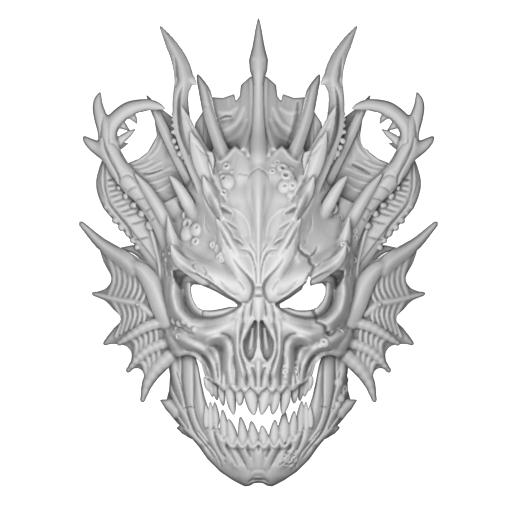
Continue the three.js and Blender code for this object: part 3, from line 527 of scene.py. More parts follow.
# Rays of the side fin: h, v, height in mm over the web's front, radius in mm.
FIN_RAYS = {
    "ray_1": [
        (134, 271, 1, 5.8), (126, 261.4, 2.4, 6.6), (113, 252, 2.2, 5.8), (100, 242.8, 1.4, 4.6),
        (88.6, 231.6, 0, 3.1), (80.8, 223.6, -1, 2.1),
    ],
    "ray_1_body": [
        (168, 322, 1, 8), (161, 304, 3, 8.6), (152, 284, 3.2, 7.6), (142, 271, 2.6, 6),
        (130, 263, 0.6, 3.4),
    ],
    "ray_2": [
        (152, 314, -1, 3), (137, 304, -0.5, 3.2), (120, 300.4, -0.5, 3), (105, 296.8, -1, 2.5),
        (93.6, 293.8, -1, 1.7),
    ],
    "ray_3": [(124, 322, -6, 2), (117, 330.6, -5, 3.2), (111, 338, -4, 3.2), (105, 343.4, -4, 1.8)],
    "ray_4": [(162, 322, 2, 4), (146, 327, 2, 3.8), (131, 335.6, 1, 3.2), (119, 343.6, 0, 1.7)],
    "ray_5": [(168, 342, 1, 4), (150, 349, 0.4, 3.8), (138, 358.4, 0, 3.4), (128, 370.6, -1, 1.8)],
    "ray_6": [
        (170, 356, 1, 5.4), (157.6, 368, 0, 5.4), (148, 382, -1, 4.4), (144.6, 392, -1, 3),
        (142.4, 400.4, -1, 1.8),
    ],
}
FLATNESS = {
    "blade_horn": 0.62, "blade_barb": 0.6, "rear_coil": 0.72, "ray_1": 0.7, "loop_horn": 0.9,
    "ridge_spike_1": 0.7, "ridge_spike_2": 0.7, "rear_spike": 0.8,
}
# How sharp a cross-section is: 2 is round and 1.2 is nearly a diamond with a crest.
SHARPNESS = {
    "crown_spike": 1.2, "blade_horn": 1.3, "blade_barb": 1.4, "rear_spike": 1.15, "ridge_spike_1": 1.3,
    "ridge_spike_2": 1.3, "ridge_spike_3": 1.35, "ridge_spike_4": 1.35, "temple_spike": 1.5,
    "brow_horn": 1.3, "side_spike": 1.7, "arm_spike": 1.6, "jaw_spike_upper": 1.5, "jaw_spike_lower": 1.5,
    "loop_horn": 1.7,
}
# Lines that a panel's ribs end on, where they differ from the ray.
RIB_LINES = {
    "ray_1": [(168, 322), (155, 290), (132, 265), (102.6, 243), (78.6, 221.6)],
    "ray_3": [(156, 328), (130, 329), (113, 338), (105, 343.4)],
}

# Teeth on the whole front: root h and v, tip h and v, half width at the root in units.
UPPER_TEETH = [
    (206, 378, 208.4, 390.4, 2.3), (210.4, 379, 212.6, 396.4, 2.8), (215.8, 382, 217, 399.6, 2.9),
    (221.6, 386, 223.4, 405, 3.2), (230.5, 387, 233.6, 413.3, 4.7), (240, 390, 240, 404.6, 4),
    (250.6, 386, 254, 413.3, 6.3), (265.4, 386, 261.6, 413, 5.7), (270.4, 392, 269, 404.6, 2.5),
    (275.6, 391, 272.6, 413, 4.6), (286, 388, 282.6, 413, 4.8), (294.5, 386, 294, 402.6, 3.6),
    (301, 383, 299.6, 400, 3), (306.4, 380, 304.5, 396, 2.8), (311, 378, 309, 390, 2.3),
]
LOWER_TEETH = [
    (206.2, 427, 206, 406, 2.3), (210.8, 429, 210.4, 402, 2.9), (216.4, 427, 214.7, 402.6, 3.4),
    (224.6, 435, 222.6, 410.4, 4), (233, 444, 229, 420, 5), (243.4, 444, 240.6, 417.6, 4.6),
    (253.6, 444, 251.4, 422, 5), (264, 443, 262, 426, 4.6), (274, 443, 275, 420.6, 4.6),
    (283.4, 441, 284.4, 412.4, 5.4), (292.4, 436, 294.3, 411.6, 4), (300, 430, 301.8, 402, 4),
    (306.4, 430, 305.8, 402, 3), (311, 427, 310, 407, 2.3),
]

CROWN_WEB = [
    (262, 180), (262, 75), (258.5, 75), (250, 77), (241, 85), (240, 96), (235.6, 102), (234, 94),
    (223, 98), (209, 97), (202.8, 112), (195.6, 123), (192, 150), (204, 176), (216, 184),
]
SIDE_WEB = [
    (172, 117), (151, 101), (154, 116), (157, 135.6), (147.8, 152), (138.6, 159), (126, 164), (140, 186),
    (158, 206), (186, 206), (198, 186), (190, 150),
]
BLADE_WEB = [
    (191, 133.5), (196, 141), (201.5, 147.2), (207, 151), (212.4, 152.6), (214.4, 160), (212, 176),
    (204, 176), (196, 158),
]
TEMPLE_WEB = [
    (178, 196), (160, 205), (150, 212), (147, 224), (152, 240), (157, 258), (160, 280), (165, 300),
    (180, 300),
]
# The fin's scalloped edge, as curves from ray to ray.
FIN_EDGES = [
    [(98, 244), (103.6, 262), (111.4, 277.6), (106.4, 288), (94, 293)],
    [(94, 293), (106, 301.5), (113, 309), (120.5, 317), (118.6, 327), (113, 337), (104, 344)],
    [(117, 344), (126, 346), (131.5, 353), (130.5, 363), (127.5, 371)],
    [(127.5, 371), (137, 368), (143.5, 373), (144, 386), (142, 399)],
]
# Ribs of each panel between two rays: shares of the first ray and of the second one, and how far
# they are drawn in towards the root.
FIN_PANELS = [
    (
        "ray_1", "ray_2",
        [0.76, 0.69, 0.62, 0.56, 0.5, 0.44, 0.38], [0.76, 0.68, 0.6, 0.52, 0.43, 0.34, 0.25], 0.13,
    ),
    ("ray_2", "ray_3", [0.7, 0.58, 0.47, 0.37, 0.28, 0.2], [0.76, 0.66, 0.56, 0.46, 0.36, 0.26], 0.1),
    ("ray_4", "ray_5", [0.78, 0.64, 0.5, 0.36, 0.22], [0.8, 0.66, 0.52, 0.38, 0.24], 0.14),
    ("ray_5", "ray_6", [0.74, 0.58, 0.42, 0.26], [0.72, 0.58, 0.44, 0.3], 0.12),
]
# A rib's half width in units, which grows with the distance from the root, and its height in mm.
RIB_WIDTH = 1.5
RIB_WIDENING = 0.027
RIB_HEIGHT = 3.4
RIB_END_SHARE = 0.8
RIB_END_HEIGHT = 2.6
# The fin leans away from its root: depth in mm, and mm a unit.
FIN_ROOT = (168, 308)
FIN_ROOT_DEPTH = 40
FIN_SLOPE = 0.14
# The fin web's outline behind its scalloped edge, above and below it.
FIN_WEB_ABOVE = [(166, 296), (150, 266), (128, 252)]
FIN_WEB_BELOW = [(150, 388), (158, 378), (170, 366)]
FIN_WEB_SINK = 1.6
# How a web leans along the drawing: from where and over how much, in units, then depth and rise in mm.
CROWN_LEAN = (75, 105, 34, 6)
SIDE_LEAN = (100, 105, 26, 10)
TEMPLE_LEAN = (148, 24, 36, 8)
BLADE_WEB_TOP = 140
BLADE_WEB_DEPTH = 71
BLADE_WEB_SLOPE = 0.1
# The temple's web carries the face's relief out to this h.
TEMPLE_RELIEF_EDGE = 182
TEMPLE_RELIEF_SHARE = 0.8
# Web thicknesses in mm.
THIN_WEB = 3.6
THICK_WEB = 5.0
FIN_WEB_THICKNESS = 3.4
# The crown web's pleats, and its rise to the forehead beside the spine's root.
PLEAT_HEIGHT = 5
PLEAT_WIDTH = 30
CROWN_RISE_TOP = 122
CROWN_RISE_LENGTH = 38
CROWN_RISE_MIDDLE = 244
CROWN_RISE_WIDTH = 9.5
CROWN_RISE = 44
CROWN_RISE_MOST = 26
# Folds of the two other webs.
CROWN_FOLDS = {
    "beside the spine": [
        (251, 80, 2, 0.8), (251, 122, 2.4, 1.4), (244, 142, 2.8, 2.2), (236, 154, 2.8, 2),
    ],
    "second": [(254, 96, 1.5, 0.8), (252.4, 130, 1.8, 1.6), (247.6, 156, 2.2, 2)],
    "third": [(254.6, 130, 1.4, 1), (252.6, 142, 1.8, 1.6), (251.6, 150, 1.4, 0.8)],
    "upper": [(236, 108, 2, 0.8), (228, 112.6, 2.4, 1.1), (219, 112, 2, 0.8)],
    "middle": [(243, 108, 2, 0.8), (236, 122, 2.4, 1.4), (225, 130, 2, 1)],
    "lower": [(246, 120, 2, 0.8), (237, 134, 2.4, 1.6), (226, 141, 2, 1)],
    "lowest": [(241, 140, 1.8, 0.8), (233, 148, 2, 1.2), (226, 152, 1.8, 0.8)],
}
SIDE_FOLDS = {
    "rim": [
        (156.6, 112, 1.4, 1.2), (158, 128, 1.5, 1.4), (155, 143, 1.5, 1.4), (147, 154, 1.6, 1.6),
        (137, 161, 1.6, 1.3), (128, 164, 1.4, 1),
    ],
    "first": [(133, 167.4, 1.2, 0.8), (143, 165.4, 1.5, 1.5), (152, 160.5, 1.2, 0.8)],
    "second": [(139, 171.6, 1.2, 0.8), (150, 168, 1.6, 1.7), (161, 162, 1.4, 1)],
    "second branch": [(147, 172.4, 1, 0.6), (155, 170.6, 1.2, 1.2), (163, 168, 1.2, 0.8)],
    "third": [(144, 177.4, 1.2, 0.8), (156, 174, 1.7, 2), (170, 168, 1.6, 1.4)],
    "fourth": [(147, 184, 1.2, 0.8), (157, 181.6, 1.6, 1.7), (168, 177, 1.4, 1)],
    "fifth": [(153, 192, 1.4, 0.8), (161, 189.6, 1.7, 1.7), (170, 184, 1.4, 1)],
    "upper": [(162, 137, 1.4, 0.6), (158, 149, 1.8, 1.2), (149, 158, 1.4, 0.8)],
    "inner": [(167, 128, 1.6, 0.8), (171, 148, 2, 1.4), (176, 166, 1.8, 1)],
}

# Growths on the whole front, open cups and rounded domes: h, v and radius in units.
CUPS = [
    (226, 165.4, 4.6), (220.5, 172.4, 2.2), (224.3, 192, 4.1), (184.8, 215.6, 5.6), (186.2, 223.4, 6.6),
    (194.5, 240.8, 4.8), (211.6, 244.8, 4), (215.6, 249.6, 2.6), (219.6, 254.6, 3.2), (221, 260, 3.4),
    (272.6, 170.4, 3.8), (277.3, 161.8, 2.8), (334.8, 209.6, 6), (340.6, 217, 2.8), (347.6, 249.6, 5),
    (355.3, 260, 3.8), (355.8, 238, 3.8), (356.4, 231, 2.8), (177.2, 336.4, 3.8), (284.6, 371.4, 3.6),
    (296, 368.6, 3.4), (297.6, 374.4, 3.4), (284.6, 456.6, 3.4), (290.6, 460.8, 3.6), (286.4, 464.4, 3.4),
    (294, 455.6, 3.2), (165.4, 259.8, 2.6),
]
DOMES = [
    (226.8, 180.4, 8.2), (223.4, 177.4, 4.8), (231.6, 171.6, 2.2), (185.6, 232.4, 9), (194.6, 229.4, 7.2),
    (217, 256, 2.8), (222.6, 251, 2), (216.4, 246, 2), (273.4, 165, 2.2), (283.5, 167.4, 6.2),
    (287.8, 173.6, 7.4), (292, 184, 6.8), (283.6, 186.4, 6.8), (289.6, 194, 3.8), (291, 178.4, 5),
    (291.4, 169, 4.4), (330.8, 214.6, 3), (351, 256, 3), (343, 243, 3.8), (349.6, 241, 2.6),
    (173.2, 321.6, 4.2), (178.6, 324, 3.8), (183.4, 322.6, 3.4), (188.4, 325.6, 3.6), (193.4, 329, 3.2),
    (176, 328, 2.8), (324.6, 341, 5), (329.6, 345, 3), (320.6, 346.6, 3), (340.8, 331.4, 5),
    (337, 324.6, 2.6), (286.6, 377, 3), (283.6, 365.6, 2.2), (296, 361.6, 2.4), (281.6, 461.6, 2.8),
    (289.4, 451.8, 3), (296.4, 460.6, 2.8), (292.6, 449.4, 2.2), (296.6, 452, 2.2), (285.6, 460.4, 2.6),
    (291.6, 466, 2.4), (163.4, 254.6, 2.6), (169, 253.4, 2.4), (345.4, 372.4, 5), (346.6, 380.6, 4.6),
    (345, 389, 5.4), (341.4, 397, 5), (338.6, 404, 4), (340.6, 383, 5.6), (347.6, 394, 3),
]
# Holes in the domes: h, v and radius in units.
GROWTH_HOLES = [
    (223, 177.4, 1.8), (228, 177.6, 0.7), (230, 180, 0.6), (227, 174.6, 0.6), (195.8, 226.8, 1.5),
    (184, 229, 0.7), (188.6, 233.4, 0.6), (282.8, 167.2, 2), (286.2, 174, 2.5), (292.6, 185, 1.4),
    (284.6, 185.4, 1.5), (289.6, 166.8, 0.8), (291, 176.8, 0.7), (283, 462.6, 1.1), (288, 452.6, 1),
    (287.4, 465, 1.3), (291.6, 457.4, 0.8), (324, 340.6, 1.5), (341, 331.4, 1.4), (346.4, 372.4, 1.4),
    (346, 389, 1.3), (343.4, 243, 1.3), (351.4, 256.4, 1),
]
# Scale beads: h, v, depth in mm and radius in units, on the left half; the right half has the same.
BEADS = [
    (173, 114, 49, 1.8), (172.8, 119.4, 49.6, 2), (173.2, 125.4, 50.4, 2.3), (173, 132, 51.4, 2.6),
    (175.8, 133.8, 52.4, 2), (174, 141, 53, 2.9), (176.6, 147.4, 54, 2.5), (180, 153.6, 55.4, 3.3),
    (183, 157.8, 57, 2.6), (186.4, 162.4, 58.4, 2.8), (190, 167, 60, 2.4), (193, 171.4, 61, 2.4),
    (101.6, 193, 26, 2.2), (103.4, 199.6, 26.4, 2.8), (106.4, 206.4, 27, 3.3), (111, 212.8, 27, 3.6),
    (115.4, 220.4, 28, 3.8), (121, 227.4, 29, 3.9), (127.8, 233, 30, 3.8), (132.6, 240.4, 31, 3.6),
    (136.8, 247.4, 32, 3), (118.4, 188, 36, 2.6), (125.6, 196, 37, 3.5), (133.6, 205.2, 38, 3.7),
    (141.4, 213.6, 39, 4), (150, 225.4, 40, 4.6), (137.4, 304.6, 44, 2.2),
]
# Cracks and chips on the whole front: h, v, half width in units and depth in mm.
CRACKS = {
    "right brow": [
        (298.6, 243, 1.2, -2), (299.4, 249.6, 1.7, -4), (304.2, 254.4, 2, -5), (308.8, 257, 2.1, -5),
        (309.8, 262.6, 2.2, -4.8), (313.4, 266.4, 2.5, -4.8), (311.6, 271, 2.5, -4.8),
        (309, 278, 2.2, -4.6),
    ],
    "right brow right end": [(313, 266.4, 1.3, -4), (317.4, 265.6, 1.2, -3), (320.6, 262, 0.9, -1.6)],
    "right brow branch": [(317, 246.6, 0.8, -1.4), (314.6, 252, 1.1, -2.6), (310, 256.6, 1.2, -3.4)],
    "right brow inner branch": [(306, 240, 0.8, -1), (303, 245, 0.9, -1.6), (299.8, 248, 0.9, -1.6)],
    "right brow edge": [
        (303.6, 287, 1, -2), (305, 281, 1.2, -2.6), (308, 276, 1.4, -3), (309, 272, 1.3, -3),
    ],
    "right brow scratch": [(297, 252, 0.7, -0.8), (293, 259, 0.9, -1.2), (289.4, 264, 0.7, -0.8)],
    "right cheek": [
        (312.6, 309.4, 2.2, -6), (315.8, 316.4, 2, -4.6), (316.4, 321.2, 2, -4.6), (320, 323, 2, -6),
        (324.8, 326.6, 2.2, -7), (326, 331.4, 2.2, -7), (329.6, 334.1, 2.2, -6.6),
        (333.2, 333.5, 1.8, -5), (336.5, 329.6, 1.4, -3),
    ],
    "left lower lid": [(204.2, 309, 1.1, -4), (202.6, 313, 1, -3.4), (202.4, 317.6, 0.9, -2.4)],
    "left brow chip": [
        (195.4, 262.4, 0.8, -1.4), (193, 266.4, 1.2, -3), (196.6, 270, 1, -2.4), (196, 273, 1.2, -2.6),
        (200.4, 275.4, 0.9, -1.4),
    ],
    "left brow second chip": [
        (203.4, 266.4, 0.8, -1), (206.4, 271.6, 1.1, -2.4), (205.6, 276, 1, -2), (208, 280, 0.9, -1.6),
    ],
    "left brow long scratch": [(206.4, 272.6, 0.8, -1.2), (212, 279, 0.9, -1.6), (219, 288.4, 0.8, -1)],
    "slot in the crown web": [(220.4, 118.6, 1.2, -1.8), (226, 116, 1.4, -3), (231.4, 116.4, 1.1, -2)],
    "left slot in the side web": [(143, 174, 0.9, -1.4), (152, 173, 1.1, -2.4), (162, 169.4, 0.9, -1.4)],
    "slot in the side web": [(352.6, 164.4, 1.4, -2), (361, 169, 1.8, -3), (370, 173.4, 1.3, -2)],
    "forehead line": [(238, 173.8, 0.7, -0.8), (243, 174.6, 0.8, -1.2), (247.6, 175.4, 0.8, -1)],
    "left jaw seam": [(186, 407.6, 0.8, -1.6), (190, 407, 0.8, -1.6), (194.4, 407.8, 0.8, -1.6)],
    "right jaw seam": [(321, 406.6, 0.8, -1.4), (325, 407.4, 0.8, -1.4), (330, 409.4, 0.7, -1)],
    "left horn ring": [(203.6, 106, 0.7, -1.2), (206.8, 107, 0.8, -1.4), (210.4, 105.6, 0.7, -1.2)],
    "left upper gum": [
        (205, 377, 0.9, -2.4), (208.6, 379.6, 0.9, -2.4), (213, 381.4, 0.9, -2.4), (218, 386.4, 1, -2.4),
    ],
    "floor of the crown web's slot": [(223, 121.4, 3.4, -1.6), (231, 119, 3, -1.4)],
    "fold of the right crown web": [
        (297.4, 103, 2, -1.6), (296.8, 115, 2.8, -2.6), (293, 130, 2.6, -2.6), (288, 143, 1.6, -1.4),
    ],
}
LEFT_EYE_HOLE = [
    (237.7, 305.2), (237, 306.6), (230, 306.6), (220.2, 308.8), (211.7, 310.2), (203.3, 310),
    (197.7, 307.3), (193.5, 300.3), (191.4, 293.3), (191.1, 287), (193.5, 284.4), (200.5, 285),
    (208.9, 288.4), (217.3, 292.4), (225.8, 297.4), (234.2, 301.7),
]
RIGHT_EYE_HOLE = [
    (279.4, 304), (290.3, 297.8), (298.7, 291.6), (302, 289.2), (304, 285.4), (307.4, 281),
    (308.4, 277.4), (309.2, 274.6), (310, 278), (309.6, 283), (310, 286), (317, 284), (321.9, 283.3),
    (325.4, 287), (325.4, 293.3), (322.6, 300.3), (317, 307.3), (307.1, 310.2), (297.3, 310.2),
    (288.9, 307.3), (280.5, 308),
]
# Seams carved alike on both sides of the horns and arms, as drawn on the left: h, v, half width in
# units and depth in mm.
SEAMS = {
    "arm crease": [
        (102.4, 136, 1, -1), (104.6, 146, 1.5, -3), (107.4, 153, 1.7, -4), (111, 161, 1.7, -4),
        (115.4, 169, 1.7, -4), (119, 177, 1.8, -4), (119.4, 183, 1.5, -3),
    ],
    "prong crease": [(103.4, 117, 1, -1), (101.4, 126, 1.4, -2), (100.6, 137, 1.6, -2.4)],
    "inner strand": [
        (108.4, 122, 0.9, -0.8), (108.6, 138.8, 1.1, -1.6), (110, 143, 1, -1.4), (114, 144.6, 1, -1.4),
        (119, 151, 1.1, -1.8), (123.4, 159, 1.1, -1.6), (130.5, 167.6, 1, -1),
    ],
    "outer strand": [
        (109.4, 153, 0.9, -0.8), (113, 160, 1, -1.4), (117, 168, 1, -1.2), (123, 172.6, 0.9, -0.8),
    ],
    "under the loop": [
        (119.6, 146, 1.2, -1.6), (116.4, 134, 1.6, -3), (120.6, 124.6, 1.6, -3),
        (128.6, 117.6, 1.6, -2.6), (139, 112.4, 1.2, -1.6),
    ],
    "first plate top": [
        (119.2, 180, 1, -1.2), (123.4, 176.6, 1.2, -2), (129, 175.2, 1.2, -1.8), (133, 178.4, 1, -1.2),
    ],
    "first plate foot": [
        (119.4, 185.4, 1.1, -1.6), (127, 192, 1.4, -2.6), (129.7, 189.6, 1.3, -2.2),
        (136.1, 186.6, 1, -1.4),
    ],
    "second plate foot": [
        (128, 194.6, 1.1, -1.6), (134.6, 201.4, 1.4, -2.6), (137.2, 199.8, 1.3, -2),
        (143.7, 198.6, 1, -1.2),
    ],
    "third plate foot": [
        (136.7, 203.8, 1.1, -1.6), (145, 211.6, 1.4, -2.6), (148, 209.8, 1.3, -2),
        (151.6, 208.4, 1, -1.2),
    ],
    "fourth plate foot": [(146.4, 214, 1.1, -1.6), (150.8, 220.6, 1.3, -2.4), (154, 218.4, 1.2, -1.6)],
    "coil's outer strip": [
        (104.4, 165, 1.4, -2), (104.6, 178, 1.8, -3), (105.4, 192, 1.8, -3), (110.4, 204.6, 1.8, -3),
        (120.4, 217.4, 1.8, -3), (128.4, 227.6, 1.8, -3), (132, 237, 1.5, -2),
    ],
    "horn groove": [
        (175, 58, 1.2, -1), (176.4, 66, 1.7, -2.4), (177, 74, 1.8, -3), (178, 80, 1.6, -2.4),
        (175.6, 87, 1.2, -1.4),
    ],
    "second horn groove": [
        (182, 87, 1.2, -1.6), (179.6, 95, 1.9, -4), (178.8, 106, 2, -5), (179, 118, 2, -5),
        (180.4, 131, 2, -5), (183.6, 142, 1.8, -4), (188.6, 154, 1.5, -2.6),
    ],
    "edge of the first spike": [
        (181.6, 109, 0.8, -0.6), (186, 117, 1, -1.2), (191, 127, 1, -1.4), (196, 138, 0.9, -0.8),
    ],
    "edge of the second spike": [
        (191.8, 138, 0.8, -0.6), (197, 146, 1.1, -1.4), (203.7, 153.4, 1.1, -1.4),
        (209.6, 156.4, 0.9, -0.8),
    ],
    "second spike's foot": [
        (208.4, 158.6, 0.9, -1), (208.6, 164, 1.3, -2), (210.5, 172, 1.3, -2), (212.6, 180, 1, -1),
    ],
    "crown spike side": [
        (206.6, 88, 1.2, -1), (211.4, 104, 1.6, -2.4), (216, 118, 1.6, -2.4), (222.4, 135, 1.6, -2.4),
        (228.6, 148, 1.2, -1.4),
    ],
    "spine crease": [(252.6, 70, 0.9, -0.8), (252.8, 78, 1.3, -2), (253.6, 84, 1.2, -1.4)],
    "outer lid": [
        (181, 288, 1.2, -1.6), (181.4, 300, 1.3, -2.4), (184.4, 310, 1.3, -2.4), (191, 316.6, 1.2, -2),
        (201, 320, 1, -1.4),
    ],
    "inner lid": [
        (186.6, 290, 0.9, -1), (187.2, 299, 1.1, -2), (191.2, 308.4, 1.1, -2), (198, 314.6, 1.1, -2),
        (208, 317.4, 1, -1.6), (222, 315.4, 0.9, -1.2), (234, 310, 0.8, -0.8),
    ],
}
COIL_RIBS = [
    (105, 179.6, 114, 178.6), (104, 185.4, 115, 184.6), (106, 191.4, 117.6, 189),
    (107.4, 196.8, 120, 193.6), (110, 202.7, 123.6, 198), (113.4, 207.6, 128.4, 202.6),
    (117.7, 212.5, 133, 207.6), (122, 216.3, 139, 212), (129.6, 224.4, 146, 219.6),
    (134, 239.6, 148, 237),
]
COIL_RIB_SAG = 0.8
for number, (h_from, v_from, h_to, v_to) in enumerate(COIL_RIBS):
    middle = ((h_from + h_to) / 2, (v_from + v_to) / 2 + COIL_RIB_SAG, 1.7, -2.4)
    SEAMS["coil rib", number] = [(h_from, v_from, 1.2, -1.2), middle, (h_to, v_to, 1.2, -1.2)]
# Spikes that spread into the skull at their roots.
BROAD_ROOTS = (
    "side_spike", "arm_spike", "temple_spike", "ridge_spike_1", "ridge_spike_2", "ridge_spike_3",
    "ridge_spike_4", "brow_horn", "crown_spike", "blade_horn", "rear_spike", "loop_prong_up",
    "loop_prong_out",
)
# The broad forms rise softly above this height in mm, and by no more than the rise, so that carving
# has room on top.
SOFT_HEIGHT = 90.0
SOFT_RISE = 9.0
CREST_SHARE = 0.7
# The socket falls away from its rim over an edge in units, to its depth in mm, and holds less relief.
# It is shallower towards the outer corner, which stands at an h.
SOCKET_EDGE = 2.2
SOCKET_DEPTH = 10
SOCKET_SMOOTHING = 0.6
SOCKET_CORNER_H = 166
SOCKET_CORNER_WIDTH = 20
SOCKET_CORNER_SHARE = 0.45
OUTER_CORNER = [(172, 275, 6, -3), (178, 280, 7, -5)]
# The nose hole's edge and depth in mm, and the turned bone inside it.
NOSE_EDGE = 1.4
NOSE_DEPTH = 19
TURNED_BONE = [(252, 329, 2, 4), (251.4, 339, 2.4, 5), (250, 348, 2, 3)]
# Rows of the drawing between which the muzzle and the room behind the mouth lie, and the jaw's top row.
MUZZLE_TOP, MUZZLE_FOOT = 301, 403
MOUTH_ROOM_TOP, MOUTH_ROOM_FOOT = 358, 440
MOUTH_ROOM_WIDTH = 57
JAW_TOP = 331
# How far round a place, in mm, a wall follows the lowest front.
SKULL_WALL_REACH = 2.8
JAW_WALL_REACH = 2.4
# Rounding in mm where fields meet.
ROUNDING = 1.6
MUZZLE_ROUNDING = 3.0
SKULL_EDGE_ROUNDING = 2.4
JAW_EDGE_ROUNDING = 2.6
BLADE_WEB_ROUNDING = 4.0
BROAD_ROOT_ROUNDING = 3.4
FIN_ROUNDING = 1.2
SPINE_HEAD_ROUNDING = 1.0
HOLLOW_ROUNDING = 1.5
EYE_ROUNDING = 0.8
TOOTH_ROUNDING = 0.5
GROWTH_ROUNDING = 0.4
GROWTH_HOLE_ROUNDING = 0.3
# Sharpness of the spine's and of the fin rays' sections.
SPINE_SHARPNESS = 1.6
RAY_SHARPNESS = 1.5
# Fields blend to a little less than their sizes, so that the whole is made thicker by this much.
THICKER = 0.3
# Outlines of what is broken off the jaw's right side and the edge of the right side web.
CHIPS = [
    [
        (347, 424), (340, 428), (335.4, 436), (331, 441), (326.6, 445.6), (320, 453), (313, 463),
        (318, 470), (345, 452), (356, 430),
    ],
    [(360.6, 136), (368, 136), (369, 150), (364, 147.6), (361, 142)],
]


# The grid of the left half: out from the middle, up the mask and out of the face.
out = (np.arange(round(HALF_WIDTH / STEP)) + 0.5) * STEP
ups = LOW_Y + (np.arange(round((HIGH_Y - LOW_Y) / STEP)) + 0.5) * STEP
deep = LOW_Z + (np.arange(round((HIGH_Z - LOW_Z) / STEP)) + 0.5) * STEP
out, ups, deep = (axis.astype(np.float32) for axis in (out, ups, deep))
H = (MIDDLE_H - out / UNIT)[:, None] + 0 * ups[None, :]
V = (MIDDLE_V - ups / UNIT)[None, :] + 0 * out[:, None]
OUT = out[:, None, None]
UP = ups[None, :, None]
DEEP = deep[None, None, :]
FAR = np.float32(50.0)


def steps_of(length):
    """A length in mm as whole steps of the grid."""
    return max(1, round(length / STEP))


def smooth_path(points, pieces):
    """A curve through the points, in even pieces."""
    points = np.array(points, float)
    padded = np.vstack([2 * points[0] - points[1], points, 2 * points[-1] - points[-2]])
    rows = []
    for k in range(len(points) - 1):
        a, b, c, d = padded[k:k + 4]
        bend = 2 * a - 5 * b + 4 * c - d
        twist = 3 * b - a - 3 * c + d
        for t in np.arange(pieces) / pieces:
            rows.append(0.5 * (2 * b + (c - a) * t + bend * t**2 + twist * t**3))
    rows.append(points[-1])
    return np.array(rows)


# How far a stroke spreads over its half width, and its cross-section from the middle, 0, to the edge, 1.
PROFILES = {
    "form": (1.35, lambda share: (1 - share**2) ** 2),
    "roll": (1.5, lambda share: (1 - share**2) ** 1.4),
    "lip": (1.2, lambda share: (1 - share**2) ** 0.8),
    "crest": (1.15, lambda share: (1 - share) ** 1.1),
    "groove": (1.2, lambda share: (1 - share) ** 1.2),
}


# A stroke's least half width and the margin round it, in units.
THINNEST_STROKE = 0.4
STROKE_MARGIN = 0.5


def places_near(values, path, reach):
    """Numbers of the values that lie within reach of a path."""
    return np.nonzero((values > path.min() - reach) & (values < path.max() + reach))[0]


def stroke_map(points, profile, pieces=4, grid=None):
    """Height over the front of one stroke whose points hold h, v, half width and height."""
    grid_h, grid_v = grid or (H, V)
    spread, shape = PROFILES[profile]
    path = smooth_path(points, pieces)
    path[:, 2] = np.maximum(path[:, 2] * spread, THINNEST_STROKE)
    reach = path[:, 2].max() + STROKE_MARGIN
    rows = places_near(grid_h[:, 0], path[:, 0], reach)
    columns = places_near(grid_v[0], path[:, 1], reach)
    height = np.zeros_like(grid_h)
    if not len(rows) or not len(columns):
        return height
    box = np.ix_(rows, columns)
    h, v = grid_h[box], grid_v[box]
    nearest = np.full(h.shape, 9.0)
    tall = np.zeros(h.shape)
    for a, b in zip(path[:-1], path[1:]):
        dh, dv = b[0] - a[0], b[1] - a[1]
        t = np.clip(((h - a[0]) * dh + (v - a[1]) * dv) / max(dh * dh + dv * dv, 1e-9), 0, 1)
        share = np.hypot(h - a[0] - t * dh, v - a[1] - t * dv) / (a[2] + t * (b[2] - a[2]))
        closer = share < nearest
        nearest = np.where(closer, share, nearest)
        tall = np.where(closer, a[3] + t * (b[3] - a[3]), tall)
    height[box] = tall * shape(np.minimum(nearest, 1))
    return height


def form_map(strokes):
    """The sum of several broad forms at each place."""
    total = np.zeros_like(H)
    for path, width, rise in strokes:
        total += stroke_map([(h, v, width, rise) for h, v in path], "form", 1)
    return total


def raised_map(strokes, profile):
    """The highest of several strokes at each place."""
    height = np.zeros_like(H)
    for points in strokes.values():
        height = np.maximum(height, stroke_map(points, profile))
    return height


def sunk_map(strokes, grid=None):
    """The deepest of several grooves at each place, below nought."""
    depth = np.zeros_like((grid or (H, V))[0])
    for points in strokes.values():
        depth = np.minimum(depth, stroke_map(points, "groove", 4, grid))
    return depth


def outline_distance(outline, h=None, v=None):
    """Distance in mm from a front outline, below nought inside."""
    h = H if h is None else h
    v = V if v is None else v
    ring = np.array(outline, float)
    nearest = np.full(h.shape, 1e9)
    inside = np.zeros(h.shape, bool)
    for a, b in zip(ring, np.roll(ring, -1, 0)):
        dh, dv = b - a
        t = np.clip(((h - a[0]) * dh + (v - a[1]) * dv) / max(dh * dh + dv * dv, 1e-9), 0, 1)
        nearest = np.minimum(nearest, np.hypot(h - a[0] - t * dh, v - a[1] - t * dv))
        if a[1] != b[1]:
            crosses = (a[1] > v) != (b[1] > v)
            inside ^= crosses & (h < (b[0] - a[0]) * (v - a[1]) / (b[1] - a[1]) + a[0])
    return (np.where(inside, -nearest, nearest) * UNIT).astype(np.float32)


def form_rows(form, column):
    """One column of a form's table, worked out for each row of the grid."""
    v = np.array([row[0] for row in form], float)
    return np.interp(MIDDLE_V - ups / UNIT, v, [row[column] for row in form]).astype(np.float32)


def dome_height(form):
    """Height in mm of a rounded form's front."""
    width, depth = form_rows(form, 1) * UNIT, form_rows(form, 2)
    across = np.clip(out[:, None] / width[None, :], 0, 1)
    return depth[None, :] * (1 - across**ROUNDNESS) ** (1 / ROUNDNESS)


# The relief on a form grows from the rim plane up to its full height at this depth in mm.
RELIEF_DEPTH = 22.0


